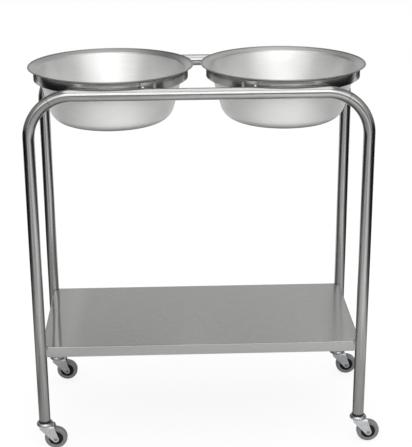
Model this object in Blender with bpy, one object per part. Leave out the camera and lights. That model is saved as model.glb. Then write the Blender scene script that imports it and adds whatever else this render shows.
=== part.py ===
"""Double basin stand: two lift-out basins in rings on a bent-tube frame, with a shelf and four casters.

Metres, +Z up, +X to the viewer's right and -Y towards the viewer. The origin lies on the floor, under the
middle of the stand's outline, with all casters trailing to +X.
"""
import math

import bmesh
import bpy
from mathutils import Matrix

# Fits shared by all pieces
SEAT_GAP = 0.0003            # space between two pieces that touch
RUNNING_GAP = 0.0005         # space beside a piece that turns
WELD_DISTANCE = 1e-6         # points closer than this are one point
SHARP_ANGLE = math.radians(35)
QUARTER = math.pi / 2
FULL_TURN = 2 * math.pi

# Basins: spun sheet with a flared rim
BASIN_RIM_RADIUS = 0.1806
BASIN_DEPTH = 0.121          # rim to base, outside
BASIN_SHEET = 0.001
RIM_BEAD_RADIUS = 0.0012     # rolled edge of the rim
RIM_GAP = 0.0148             # between the two rims
FLANGE_SLOPE = math.radians(20)
WALL_DRAFT = math.radians(16)
NECK_FILLET = 0.007
BASE_FILLET = 0.037
BASIN_SIDES = 40
RIM_BEAD_STEPS = 6
NECK_STEPS = 3
BASE_STEPS = 5

# Basin rings: flat bar on edge, ends lapped and riveted
RIM_OVERHANG = 0.0124        # rim beyond the ring's outside
RING_THICKNESS = 0.0032
RING_HEIGHT = 0.0215
RING_TO_WALL = 0.004         # ring's inside to the basin's neck
RING_STEPS = 80
LAP_STEPS = 2                # ring steps covered by both ends
RIVET_ANGLE = math.radians(25)   # from the front, towards the middle of the stand
RIVET_EDGE = 0.0055          # rivet to the outer end of the bar
RIVET_RADIUS = 0.002
RIVET_HEAD_RADIUS = 0.0034
RIVET_HEAD_HEIGHT = 0.0018
RIVET_TAIL_HEIGHT = 0.001
RIVET_SIDES = 10
RIVET_DOME_STEPS = 3

# Frame: two inverted U tubes
TUBE_DIAMETER = 0.0254
TUBE_WALL = 0.0015
RAIL_HEIGHT = 0.8148         # rail centre line above the floor
BEND_RADIUS = 0.092          # at the tube's centre line
RAIL_OUTSIDE_RING = 0.00205  # rail centre line beyond the ring's outside
LEG_INSIDE_RIM = 0.01385     # leg centre line inside the rims' outer edges
TUBE_SIDES = 16
BEND_STEPS = 8

# Lower shelf: folded sheet
SHELF_HEIGHT = 0.2477        # top face above the floor
SHELF_FLANGE = 0.0238
SHELF_SHEET = 0.0012
SHELF_BEND = 0.003           # outside radius of the folds
SHELF_INSET = 0.001          # edges inside the leg centre lines
SHELF_BEND_STEPS = 3

# Caster wheels
WHEEL_RADIUS = 0.0254
CASTER_TRAIL = 0.0235        # swivel axis to axle
TYRE_THICKNESS = 0.0095
TYRE_HALF_WIDTH = 0.009
TYRE_SHOULDER = 0.0045
TYRE_SIDES = 26
TYRE_SHOULDER_STEPS = 3
HUB_RIM_HALF_WIDTH = 0.008
HUB_RIM_THICKNESS = 0.002
HUB_WEB_HALF_WIDTH = 0.005
HUB_BOSS_WALL = 0.0025
HUB_SIDES = 16
SLEEVE_WALL = 0.0012
BORE_SIDES = 12

# Caster forks
FORK_SHEET = 0.002
FORK_HEADROOM = 0.0045       # tyre to the fork's top plate
FORK_SIDE_GAP = 0.003        # tyre to the fork's cheeks
FORK_BEND = 0.004            # outside radius between plate and cheeks
FORK_NOSE = 0.007            # round end below the axle
FORK_REAR = 0.012            # plate behind the swivel axis
FORK_FRONT = 0.0195          # plate ahead of the swivel axis
FORK_REAR_DROP = 0.005       # straight rear edge of the cheeks
FORK_BEND_STEPS = 4
FORK_NOSE_STEPS = 8
AXLE_RADIUS = 0.0025
AXLE_HEAD_RADIUS = 0.004
AXLE_HEAD_HEIGHT = 0.0018
AXLE_END = 0.0008            # bolt beyond its nut
AXLE_SIDES = 10
AXLE_DOME_STEPS = 3
NUT_RADIUS = 0.0046          # over the corners
NUT_HEIGHT = 0.004
NUT_SIDES = 6

# Caster swivel and its socket in the leg
BALL_DIAMETER = 0.005
BALL_CIRCLE_RADIUS = 0.0115
BALL_RING_SIDES = 16
BALL_STEPS = 6
CAP_RADIUS = 0.0185
CAP_SHEET = 0.0016
CAP_CROWN_RADIUS = 0.0125    # flat top of the cap
CAP_SHOULDER = 0.0055        # height of the rounded shoulder
CAP_CROWN_SHEET = 0.0026
CAP_SIDES = 20
CAP_SHOULDER_STEPS = 4
KINGPIN_RADIUS = 0.004
KINGPIN_HEAD_RADIUS = 0.0065
KINGPIN_HEAD_HEIGHT = 0.0022
STEM_RADIUS = 0.0055
STEM_LENGTH = 0.04           # above the cap
STEM_GROOVE_DEPTH = 0.0012
STEM_GROOVE_HEIGHT = 0.003
STEM_GROOVE_DOWN = 0.006     # groove below the stem's end
STEM_SIDES = 10
SOCKET_FLANGE = 0.0036       # height of the socket's flange under the tube
SOCKET_FLANGE_OVER = 0.0005  # flange beyond the tube's outside
SOCKET_LENGTH = 0.036        # sleeve inside the tube

# Sizes that follow from the ones above
TUBE_RADIUS = TUBE_DIAMETER / 2
BASIN_SPACING = 2 * BASIN_RIM_RADIUS + RIM_GAP
RING_RADIUS = BASIN_RIM_RADIUS - RIM_OVERHANG
RING_INSIDE = RING_RADIUS - RING_THICKNESS
LAP_OUT = RING_THICKNESS + SEAT_GAP   # outer end of the bar beyond its inner end
RING_TOP = RAIL_HEIGHT + RING_HEIGHT
NECK_RADIUS = RING_INSIDE - RING_TO_WALL
HALF_FRAME = RING_RADIUS + RAIL_OUTSIDE_RING
HALF_LEGS = BASIN_SPACING / 2 + BASIN_RIM_RADIUS - LEG_INSIDE_RIM
HUB_RADIUS = WHEEL_RADIUS - TYRE_THICKNESS
SLEEVE_INSIDE = AXLE_RADIUS + SEAT_GAP
SLEEVE_RADIUS = SLEEVE_INSIDE + SLEEVE_WALL
HUB_BORE = SLEEVE_RADIUS + SEAT_GAP
FORK_INSIDE = TYRE_HALF_WIDTH + FORK_SIDE_GAP
FORK_OUTSIDE = FORK_INSIDE + FORK_SHEET
FORK_PLATE_UNDER = 2 * WHEEL_RADIUS + FORK_HEADROOM
FORK_PLATE_TOP = FORK_PLATE_UNDER + FORK_SHEET
BALL_HEIGHT = FORK_PLATE_TOP + SEAT_GAP + BALL_DIAMETER / 2
CAP_CEILING = BALL_HEIGHT + BALL_DIAMETER / 2 + SEAT_GAP
CAP_TOP = CAP_CEILING + CAP_CROWN_SHEET
SOCKET_BOTTOM = CAP_TOP + SEAT_GAP
LEG_BOTTOM = SOCKET_BOTTOM + SOCKET_FLANGE + SEAT_GAP
REACH_LEFT = HALF_LEGS + CAP_RADIUS
REACH_RIGHT = HALF_LEGS + CASTER_TRAIL + WHEEL_RADIUS
STAND_X = (REACH_LEFT - REACH_RIGHT) / 2

# Finishes: colour, roughness, metallic
FINISHES = {
    "frame_steel": ((0.52, 0.52, 0.51), 0.32, 1.0),
    "shelf_steel": ((0.55, 0.55, 0.53), 0.38, 1.0),
    "ring_steel": ((0.42, 0.42, 0.41), 0.25, 1.0),
    "rivet_steel": ((0.70, 0.70, 0.69), 0.25, 1.0),
    "basin_steel": ((0.66, 0.66, 0.65), 0.35, 1.0),
    "socket_nylon": ((0.02, 0.02, 0.022), 0.5, 0.0),
    "stem_steel": ((0.50, 0.50, 0.50), 0.4, 1.0),
    "cap_zinc": ((0.62, 0.63, 0.65), 0.3, 1.0),
    "ball_steel": ((0.55, 0.55, 0.55), 0.2, 1.0),
    "fork_zinc": ((0.60, 0.61, 0.63), 0.45, 1.0),
    "axle_steel": ((0.52, 0.53, 0.55), 0.35, 1.0),
    "nut_steel": ((0.50, 0.51, 0.53), 0.4, 1.0),
    "sleeve_steel": ((0.50, 0.50, 0.50), 0.4, 1.0),
    "hub_plastic": ((0.012, 0.012, 0.014), 0.45, 0.0),
    "tyre_rubber": ((0.16, 0.16, 0.165), 0.7, 0.0),
}


# Shared tools
def finish(slot):
    """Material with one of the finishes, made on its first use."""
    if slot in bpy.data.materials:
        return bpy.data.materials[slot]
    colour, roughness, metallic = FINISHES[slot]
    material = bpy.data.materials.new(slot)
    material.use_nodes = True
    shader = material.node_tree.nodes["Principled BSDF"]
    shader.inputs["Base Color"].default_value = (*colour, 1.0)
    shader.inputs["Roughness"].default_value = roughness
    shader.inputs["Metallic"].default_value = metallic
    return material


def mesh_from(bm, name):
    """Mesh with its faces pointing out and only its real edges sharp."""
    bmesh.ops.recalc_face_normals(bm, faces=bm.faces)
    mesh = bpy.data.meshes.new(name)
    bm.to_mesh(mesh)
    bm.free()
    mesh.shade_smooth()
    mesh.set_sharp_from_angle(angle=SHARP_ANGLE)
    return mesh


def arc(centre, radius, start, stop, steps):
    """Points of a circular arc, both ends included."""
    angles = [start + (stop - start) * step / steps for step in range(steps + 1)]
    return [(centre[0] + radius * math.cos(a), centre[1] + radius * math.sin(a)) for a in angles]


def shifted(path, distance):
    """Open path moved sideways to its left, with mitred corners."""
    normals = []
    for (x0, y0), (x1, y1) in zip(path, path[1:]):
        length = math.hypot(x1 - x0, y1 - y0)
        normals.append(((y0 - y1) / length, (x1 - x0) / length))
    before = normals[:1] + normals
    after = normals + normals[-1:]
    moved = []
    for (x, y), (ax, ay), (bx, by) in zip(path, before, after):
        scale = distance / (1 + ax * bx + ay * by)
        moved.append((x + (ax + bx) * scale, y + (ay + by) * scale))
    return moved


def filleted(corner, before, after, radius, steps):
    """Arc that rounds one corner of a path between its two neighbours."""
    towards = [math.atan2(p[1] - corner[1], p[0] - corner[0]) for p in (before, after)]
    half = math.remainder(towards[1] - towards[0], FULL_TURN) / 2
    middle = towards[0] + half
    reach = radius / abs(math.sin(half))
    centre = (corner[0] + reach * math.cos(middle), corner[1] + reach * math.sin(middle))
    turn = math.copysign(QUARTER - abs(half), half)
    return arc(centre, radius, middle + math.pi + turn, middle + math.pi - turn, steps)


def turned(name, outline, sides):
    """Solid of revolution about Z from a closed outline of (radius, height) points."""
    bm = bmesh.new()
    points = [bm.verts.new((radius, 0.0, height)) for radius, height in outline]
    edges = []
    for here, following in zip(points, points[1:] + points[:1]):
        if here.co.x > 0 or following.co.x > 0:
            edges.append(bm.edges.new((here, following)))
    bmesh.ops.spin(bm, geom=points + edges, cent=(0, 0, 0), axis=(0, 0, 1), angle=FULL_TURN,
                   steps=sides, use_merge=True)
    bmesh.ops.remove_doubles(bm, verts=bm.verts, dist=WELD_DISTANCE)
    return mesh_from(bm, name)


def join_loops(bm, loops):
    """Quads between neighbouring closed point loops, which all have the same number of points."""
    for first, second in zip(loops, loops[1:]):
        for k in range(len(first)):
            bm.faces.new((first[k - 1], first[k], second[k], second[k - 1]))


def prism(name, outline, depth, turn=Matrix.Identity(4)):
    """Outline in X and Y, extruded along Z by depth about its middle, then turned."""
    bm = bmesh.new()
    loops = [[bm.verts.new((x, y, z)) for x, y in outline] for z in (-depth / 2, depth / 2)]
    join_loops(bm, loops)
    for loop in loops:
        bm.faces.new(loop)
    bmesh.ops.transform(bm, matrix=turn, verts=bm.verts)
    return mesh_from(bm, name)


def rod(name, radius, length, sides, place):
    """Plain cylinder about Z, moved and turned to its place."""
    bm = bmesh.new()
    bmesh.ops.create_cone(bm, cap_ends=True, segments=sides, radius1=radius, radius2=radius,
                          depth=length)
    bmesh.ops.transform(bm, matrix=place, verts=bm.verts)
    return mesh_from(bm, name)


def combined(name, body, tools, operation):
    """Mesh of a body after a Boolean with each tool in turn."""
    work = [bpy.data.objects.new(f"{name}_work", mesh) for mesh in [body, *tools]]
    for item in work:
        bpy.context.scene.collection.objects.link(item)
    for tool in work[1:]:
        change = work[0].modifiers.new(operation, "BOOLEAN")
        change.operation = operation
        change.solver = "EXACT"
        change.object = tool
    evaluated = work[0].evaluated_get(bpy.context.evaluated_depsgraph_get())
    bm = bmesh.new()
    bm.from_mesh(evaluated.to_mesh())
    evaluated.to_mesh_clear()
    for item in work:
        bpy.data.objects.remove(item, do_unlink=True)
    return mesh_from(bm, name)


def add_empty(name, parent=None, location=(0, 0, 0)):
    """Empty that carries other objects."""
    empty = bpy.data.objects.new(name, None)
    bpy.context.scene.collection.objects.link(empty)
    empty.parent = parent
    empty.location = location
    return empty


def add_piece(name, mesh, slot, parent, location=(0, 0, 0)):
    """Named sub-part with its finish, placed on its parent."""
    if not mesh.materials:
        mesh.materials.append(finish(slot))
    piece = bpy.data.objects.new(name, mesh)
    bpy.context.scene.collection.objects.link(piece)
    piece.parent = parent
    piece.location = location
    return piece


# Frame tubes
def frame_tube_mesh():
    """Inverted U in the XZ plane: left leg, bend, rail, bend and right leg of one hollow tube."""
    bend_height = RAIL_HEIGHT - BEND_RADIUS
    bend_x = HALF_LEGS - BEND_RADIUS
    stations = [(-HALF_LEGS, LEG_BOTTOM, math.pi)]
    for side, start, stop in ((-1, math.pi, QUARTER), (1, QUARTER, 0.0)):
        points = arc((side * bend_x, bend_height), BEND_RADIUS, start, stop, BEND_STEPS)
        angles = [start + (stop - start) * step / BEND_STEPS for step in range(BEND_STEPS + 1)]
        stations += [(x, z, angle) for (x, z), angle in zip(points, angles)]
    stations.append((HALF_LEGS, LEG_BOTTOM, 0.0))
    bm = bmesh.new()
    skins = []
    for radius in (TUBE_RADIUS, TUBE_RADIUS - TUBE_WALL):
        around = arc((0, 0), radius, 0, FULL_TURN, TUBE_SIDES)[:-1]
        loops = []
        for x, z, angle in stations:
            places = [(x + u * math.cos(angle), v, z + u * math.sin(angle)) for u, v in around]
            loops.append([bm.verts.new(place) for place in places])
        join_loops(bm, loops)
        skins.append(loops)
    for end in (0, -1):
        join_loops(bm, [skins[0][end], skins[1][end]])
    return mesh_from(bm, "frame_tube")


# Lower shelf
def folded_box(name, half_x, half_y, low, high, fold):
    """Box whose top edges are rounded like folds in sheet."""
    bm = bmesh.new()
    size = Matrix.Diagonal((2 * half_x, 2 * half_y, high - low, 1))
    middle = (low + high) / 2
    bmesh.ops.create_cube(bm, size=1, matrix=Matrix.Translation((0, 0, middle)) @ size)
    top_edges = [edge for edge in bm.edges if all(vert.co.z > middle for vert in edge.verts)]
    bmesh.ops.bevel(bm, geom=top_edges, offset=fold, segments=SHELF_BEND_STEPS, profile=0.5,
                    affect="EDGES")
    return mesh_from(bm, name)


def shelf_mesh():
    """Inverted tray with its top face at Z 0 and a round notch at each leg."""
    half_x = HALF_LEGS - SHELF_INSET
    half_y = HALF_FRAME - SHELF_INSET
    tray = folded_box("shelf_outside", half_x, half_y, -SHELF_FLANGE, 0.0, SHELF_BEND)
    hollow = folded_box("shelf_inside", half_x - SHELF_SHEET, half_y - SHELF_SHEET, -2 * SHELF_FLANGE,
                        -SHELF_SHEET, SHELF_BEND - SHELF_SHEET)
    legs = []
    for x in (-HALF_LEGS, HALF_LEGS):
        for y in (-HALF_FRAME, HALF_FRAME):
            place = Matrix.Translation((x, y, 0))
            legs.append(rod("leg_notch", TUBE_RADIUS + SEAT_GAP, 4 * SHELF_FLANGE, TUBE_SIDES, place))
    return combined("shelf", tray, [hollow, *legs], "DIFFERENCE")


# Basin rings and their rivets
def radial(angle, side):
    """Placement that turns +Z to point out of the ring at an angle from the front."""
    return Matrix.Rotation(side * angle - QUARTER, 4, "Z") @ Matrix.Rotation(QUARTER, 4, "Y")


def ring_mesh(side):
    """Bar on edge, from its outer end once round to its inner end below it, coped over both rails."""
    step_angle = FULL_TURN / RING_STEPS
    outer_end = RIVET_ANGLE - RIVET_EDGE / RING_RADIUS
    bm = bmesh.new()
    loops = []
    for step in range(RING_STEPS + LAP_STEPS + 1):
        angle = outer_end + step * step_angle
        outside = RING_RADIUS + (LAP_OUT if step <= LAP_STEPS else 0.0)
        inside = outside - RING_THICKNESS
        corners = [(inside, 0.0), (outside, 0.0), (outside, RING_HEIGHT), (inside, RING_HEIGHT)]
        across = side * math.sin(angle)
        along = -math.cos(angle)
        loops.append([bm.verts.new((radius * across, radius * along, z)) for radius, z in corners])
    join_loops(bm, loops)
    bm.faces.new(loops[0])
    bm.faces.new(loops[-1])
    bar = mesh_from(bm, "bar")
    lengthwise = Matrix.Rotation(QUARTER, 4, "Y")
    cuts = []
    for y in (-HALF_FRAME, HALF_FRAME):
        place = Matrix.Translation((0, y, 0)) @ lengthwise
        cuts.append(rod("rail_cope", TUBE_RADIUS + SEAT_GAP, 2 * RING_RADIUS, TUBE_SIDES, place))
    place = Matrix.Translation((0, 0, RING_HEIGHT / 2)) @ radial(RIVET_ANGLE, side)
    place = place @ Matrix.Translation((0, 0, RING_RADIUS))
    cuts.append(rod("rivet_hole", RIVET_RADIUS + SEAT_GAP, 6 * RING_THICKNESS, RIVET_SIDES, place))
    return combined("ring", bar, cuts, "DIFFERENCE")


def rivet_mesh():
    """Round-head rivet about Z, with Z 0 at the ring's outside radius."""
    seat = LAP_OUT + SEAT_GAP
    tail = -RING_THICKNESS - SEAT_GAP
    bulge = math.atan2(RIVET_HEAD_HEIGHT, RIVET_HEAD_RADIUS)
    dome = RIVET_HEAD_RADIUS / math.sin(2 * bulge)
    centre = (0.0, seat + RIVET_HEAD_HEIGHT - dome)
    head = arc(centre, dome, QUARTER, QUARTER - 2 * bulge, RIVET_DOME_STEPS)
    outline = [(0.0, head[0][1]), *head[1:]]
    outline += [(RIVET_RADIUS, seat), (RIVET_RADIUS, tail), (RIVET_HEAD_RADIUS, tail)]
    outline += [(RIVET_RADIUS, tail - RIVET_TAIL_HEIGHT), (0.0, tail - RIVET_TAIL_HEIGHT)]
    return turned("rivet", outline, RIVET_SIDES)


# Basins
def basin_mesh():
    """Spun bowl about Z. Z 0 is the ring's top edge, on which the flared rim rests."""
    slope = math.tan(FLANGE_SLOPE)
    rim_z = SEAT_GAP + (BASIN_RIM_RADIUS - RIM_BEAD_RADIUS - RING_INSIDE) * slope
    neck_z = SEAT_GAP + (NECK_RADIUS - RING_INSIDE) * slope
    base_z = rim_z - BASIN_DEPTH
    base_radius = NECK_RADIUS - (neck_z - base_z) * math.tan(WALL_DRAFT)
    under = [(BASIN_RIM_RADIUS - RIM_BEAD_RADIUS, rim_z), (NECK_RADIUS, neck_z), (base_radius, base_z),
             (0.0, base_z)]
    upper = shifted(under, -BASIN_SHEET)
    middle = shifted(under, -BASIN_SHEET / 2)[0]
    join = math.asin(BASIN_SHEET / 2 / RIM_BEAD_RADIUS)
    bead = arc(middle, RIM_BEAD_RADIUS, FLANGE_SLOPE + math.pi - join, FLANGE_SLOPE - math.pi + join,
               RIM_BEAD_STEPS)
    outline = bead + filleted(under[1], under[0], under[2], NECK_FILLET, NECK_STEPS)
    outline += filleted(under[2], under[1], under[3], BASE_FILLET, BASE_STEPS)
    outline += [under[3], (0.0, upper[3][1])]
    outline += filleted(upper[2], upper[3], upper[1], BASE_FILLET - BASIN_SHEET, BASE_STEPS)
    outline += filleted(upper[1], upper[2], upper[0], NECK_FILLET + BASIN_SHEET, NECK_STEPS)
    return turned("basin", outline, BASIN_SIDES)


# Caster pieces. The floor under the swivel axis is the origin, or the axle for what is on the axle.
def socket_mesh():
    """Sleeve in the tube's end with a flange under it."""
    bore = STEM_RADIUS + SEAT_GAP
    flange = TUBE_RADIUS + SOCKET_FLANGE_OVER
    flange_top = SOCKET_BOTTOM + SOCKET_FLANGE
    sleeve = TUBE_RADIUS - TUBE_WALL - SEAT_GAP
    sleeve_top = flange_top + SOCKET_LENGTH
    outline = [(bore, sleeve_top), (sleeve, sleeve_top), (sleeve, flange_top)]
    outline += [(flange, flange_top), (flange, SOCKET_BOTTOM), (bore, SOCKET_BOTTOM)]
    return turned("leg_socket", outline, TUBE_SIDES)


def stem_mesh():
    """Stem with a grip groove, its shoulder on the cap, and the kingpin riveted under the fork."""
    shoulder = CAP_TOP + SEAT_GAP
    top = shoulder + STEM_LENGTH
    groove_top = top - STEM_GROOVE_DOWN
    groove_bottom = groove_top - STEM_GROOVE_HEIGHT
    neck = STEM_RADIUS - STEM_GROOVE_DEPTH
    head_top = FORK_PLATE_UNDER - SEAT_GAP
    head_low = head_top - KINGPIN_HEAD_HEIGHT
    outline = [(0.0, top), (neck, top), (STEM_RADIUS, top - STEM_GROOVE_DEPTH)]
    outline += [(STEM_RADIUS, groove_top), (neck, groove_top), (neck, groove_bottom)]
    outline += [(STEM_RADIUS, groove_bottom), (STEM_RADIUS, shoulder), (KINGPIN_RADIUS, shoulder)]
    outline += [(KINGPIN_RADIUS, head_top), (KINGPIN_HEAD_RADIUS, head_top)]
    outline += [(KINGPIN_RADIUS, head_low), (0.0, head_low)]
    return turned("caster_stem", outline, STEM_SIDES)


def cap_mesh():
    """Domed raceway cap over the balls, with its skirt just clear of the fork."""
    bore = KINGPIN_RADIUS + SEAT_GAP
    skirt_low = FORK_PLATE_TOP + 2 * SEAT_GAP
    shoulder_low = CAP_TOP - CAP_SHOULDER
    inside = CAP_RADIUS - CAP_SHEET
    crown = [(CAP_CROWN_RADIUS + (CAP_RADIUS - CAP_CROWN_RADIUS) * u, shoulder_low + CAP_SHOULDER * v)
             for u, v in arc((0, 0), 1.0, QUARTER, 0.0, CAP_SHOULDER_STEPS)]
    outline = [(bore, CAP_TOP), *crown, (CAP_RADIUS, skirt_low), (inside, skirt_low)]
    outline += [(inside, shoulder_low), (CAP_CROWN_RADIUS, CAP_CEILING), (bore, CAP_CEILING)]
    return turned("raceway_cap", outline, CAP_SIDES)


def ball_ring_mesh():
    """Balls in their cage, as one ring of the balls' thickness."""
    centre = (BALL_CIRCLE_RADIUS, BALL_HEIGHT)
    outline = arc(centre, BALL_DIAMETER / 2, QUARTER, QUARTER + FULL_TURN, BALL_STEPS)[:-1]
    return turned("ball_ring", outline, BALL_RING_SIDES)


def tangent_angle(point, centre, radius, side):
    """Angle on a circle where a line from a point outside touches it, on one side."""
    away = math.atan2(point[1] - centre[1], point[0] - centre[0])
    distance = math.hypot(point[0] - centre[0], point[1] - centre[1])
    return away + side * math.acos(radius / distance)


def fork_mesh():
    """Channel of bent sheet, trimmed from the side to cheeks that taper to a round end at the axle."""
    low = WHEEL_RADIUS - 2 * FORK_NOSE
    inside_bend = FORK_BEND - FORK_SHEET
    bend_y = FORK_OUTSIDE - FORK_BEND
    bend_z = FORK_PLATE_TOP - FORK_BEND
    right = (bend_y, bend_z)
    left = (-bend_y, bend_z)
    channel = [(FORK_OUTSIDE, low), *arc(right, FORK_BEND, 0, QUARTER, FORK_BEND_STEPS)]
    channel += [*arc(left, FORK_BEND, QUARTER, math.pi, FORK_BEND_STEPS), (-FORK_OUTSIDE, low)]
    channel += [(-FORK_INSIDE, low), *arc(left, inside_bend, math.pi, QUARTER, FORK_BEND_STEPS)]
    channel += [*arc(right, inside_bend, QUARTER, 0, FORK_BEND_STEPS), (FORK_INSIDE, low)]
    axle = (CASTER_TRAIL, WHEEL_RADIUS)
    above = FORK_PLATE_TOP + FORK_SHEET
    rear = (-FORK_REAR, FORK_PLATE_TOP - FORK_REAR_DROP)
    front = (FORK_FRONT, above)
    start = tangent_angle(rear, axle, FORK_NOSE, 1)
    stop = tangent_angle(front, axle, FORK_NOSE, -1) + FULL_TURN
    side_view = [(-FORK_REAR, above), rear, *arc(axle, FORK_NOSE, start, stop, FORK_NOSE_STEPS), front]
    # Outline axes: the channel's X and Y become Y and Z, the side view's become X and Z.
    along_x = Matrix(((0, 0, 1, 0), (1, 0, 0, 0), (0, 1, 0, 0), (0, 0, 0, 1)))
    along_y = Matrix.Rotation(QUARTER, 4, "X")
    reach = 2 * (CASTER_TRAIL + WHEEL_RADIUS)
    body = prism("channel", channel, 2 * reach, along_x)
    body = combined("trimmed", body, [prism("side_view", side_view, reach, along_y)], "INTERSECT")
    axle_place = Matrix.Translation((CASTER_TRAIL, 0, WHEEL_RADIUS)) @ along_y
    holes = [rod("axle_hole", AXLE_RADIUS + SEAT_GAP, 4 * FORK_OUTSIDE, BORE_SIDES, axle_place)]
    pin_place = Matrix.Translation((0, 0, FORK_PLATE_TOP))
    holes.append(rod("kingpin_hole", KINGPIN_RADIUS + SEAT_GAP, 4 * FORK_SHEET, BORE_SIDES, pin_place))
    return combined("fork", body, holes, "DIFFERENCE")


def on_axle(mesh):
    """Mesh turned about Z, laid along the axle with its +Z end to the front."""
    mesh.transform(Matrix.Rotation(QUARTER, 4, "X"))
    return mesh


def axle_bolt_mesh():
    """Bolt through both cheeks, low round head in front."""
    seat = FORK_OUTSIDE + SEAT_GAP
    end = -seat - NUT_HEIGHT - AXLE_END
    head = [(AXLE_HEAD_RADIUS * u, seat + AXLE_HEAD_HEIGHT * v)
            for u, v in arc((0, 0), 1.0, QUARTER, 0.0, AXLE_DOME_STEPS)]
    outline = [(0.0, head[0][1]), *head[1:], (AXLE_RADIUS, seat), (AXLE_RADIUS, end), (0.0, end)]
    return on_axle(turned("axle_bolt", outline, AXLE_SIDES))


def axle_nut_mesh():
    """Hexagon lock nut behind the rear cheek."""
    middle = -FORK_OUTSIDE - SEAT_GAP - NUT_HEIGHT / 2
    place = Matrix.Translation((0, 0, middle))
    blank = prism("nut_blank", arc((0, 0), NUT_RADIUS, 0, FULL_TURN, NUT_SIDES)[:-1], NUT_HEIGHT, place)
    bore = rod("nut_bore", AXLE_RADIUS + SEAT_GAP, 2 * NUT_HEIGHT, AXLE_SIDES, place)
    return on_axle(combined("axle_nut", blank, [bore], "DIFFERENCE"))


def sleeve_mesh():
    """Plain sleeve on the bolt between the cheeks, which the hub turns on."""
    half = FORK_INSIDE - SEAT_GAP
    outline = [(SLEEVE_INSIDE, half), (SLEEVE_RADIUS, half)]
    outline += [(SLEEVE_RADIUS, -half), (SLEEVE_INSIDE, -half)]
    return on_axle(turned("axle_sleeve", outline, BORE_SIDES))


def hub_mesh():
    """Wheel centre: long boss, thin web and the rim that holds the tyre."""
    boss_half = FORK_INSIDE - RUNNING_GAP
    boss = HUB_BORE + HUB_BOSS_WALL
    front = [(HUB_BORE, boss_half), (boss, boss_half), (boss, HUB_WEB_HALF_WIDTH)]
    front += [(HUB_RADIUS - HUB_RIM_THICKNESS, HUB_WEB_HALF_WIDTH)]
    front += [(HUB_RADIUS - HUB_RIM_THICKNESS, HUB_RIM_HALF_WIDTH), (HUB_RADIUS, HUB_RIM_HALF_WIDTH)]
    back = [(radius, -height) for radius, height in reversed(front)]
    return on_axle(turned("wheel_hub", front + back, HUB_SIDES))


def tyre_mesh():
    """Solid tyre with rounded shoulders. An even side of the polygon lies on the floor."""
    inside = HUB_RADIUS + SEAT_GAP
    corner = (WHEEL_RADIUS - TYRE_SHOULDER, TYRE_HALF_WIDTH - TYRE_SHOULDER)
    shoulder = arc(corner, TYRE_SHOULDER, QUARTER, 0.0, TYRE_SHOULDER_STEPS)
    front = [(inside, HUB_RIM_HALF_WIDTH), *shoulder]
    back = [(radius, -height) for radius, height in reversed(front)]
    return on_axle(turned("tyre", front + back, TYRE_SIDES))


# Assembly
def build_frame(stand):
    """Two frame tubes and the shelf between their legs."""
    tube = frame_tube_mesh()
    add_piece("front_frame_tube", tube, "frame_steel", stand, (0, -HALF_FRAME, 0))
    add_piece("rear_frame_tube", tube, "frame_steel", stand, (0, HALF_FRAME, 0))
    add_piece("lower_shelf", shelf_mesh(), "shelf_steel", stand, (0, 0, SHELF_HEIGHT))


def build_basins(stand):
    """On each side a ring over the rails, its rivet and the basin that hangs in it."""
    basin = basin_mesh()
    rivet = rivet_mesh()
    for name, side in (("left", -1), ("right", 1)):
        x = side * BASIN_SPACING / 2
        add_piece(f"{name}_basin_ring", ring_mesh(-side), "ring_steel", stand, (x, 0, RAIL_HEIGHT))
        pin = add_piece(f"{name}_ring_rivet", rivet, "rivet_steel", stand)
        turn = radial(RIVET_ANGLE, -side)
        place = Matrix.Translation((x, 0, RAIL_HEIGHT + RING_HEIGHT / 2))
        pin.matrix_local = place @ turn @ Matrix.Translation((0, 0, RING_RADIUS))
        add_piece(f"{name}_basin", basin, "basin_steel", stand, (x, 0, RING_TOP))


def build_casters(stand):
    """Four casters: pieces on the swivel axis, then those on the axle."""
    on_swivel = [
        ("leg_socket", socket_mesh(), "socket_nylon"),
        ("caster_stem", stem_mesh(), "stem_steel"),
        ("raceway_cap", cap_mesh(), "cap_zinc"),
        ("ball_ring", ball_ring_mesh(), "ball_steel"),
        ("fork", fork_mesh(), "fork_zinc"),
    ]
    on_wheel = [
        ("axle_bolt", axle_bolt_mesh(), "axle_steel"),
        ("axle_nut", axle_nut_mesh(), "nut_steel"),
        ("axle_sleeve", sleeve_mesh(), "sleeve_steel"),
        ("wheel_hub", hub_mesh(), "hub_plastic"),
        ("tyre", tyre_mesh(), "tyre_rubber"),
    ]
    for row, y in (("front", -HALF_FRAME), ("rear", HALF_FRAME)):
        for column, x in (("left", -HALF_LEGS), ("right", HALF_LEGS)):
            corner = f"{row}_{column}"
            swivel = add_empty(f"{corner}_swivel", stand, (x, y, 0))
            axle = add_empty(f"{corner}_axle", swivel, (CASTER_TRAIL, 0, WHEEL_RADIUS))
            for kind, mesh, slot in on_swivel:
                add_piece(f"{corner}_{kind}", mesh, slot, swivel)
            for kind, mesh, slot in on_wheel:
                add_piece(f"{corner}_{kind}", mesh, slot, axle)


for old in list(bpy.data.objects):
    bpy.data.objects.remove(old, do_unlink=True)
whole = add_empty("stand", location=(STAND_X, 0, 0))
build_frame(whole)
build_basins(whole)
build_casters(whole)
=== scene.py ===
# %% [markdown]
# # A double basin stand, surface by surface
# Two spun basins hang in rings on a frame of bent tube, above a folded shelf and four casters. The packed
# solids are the fixed frame of this lesson: they say where every piece sits and how large it is. Each piece
# that shows is then covered by a finer surface, worked out as a formula on a grid, and gets a finish made
# of noise.

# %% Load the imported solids
import math

import bmesh
import bpy
import numpy as np
from mathutils import Matrix, Vector


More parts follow.
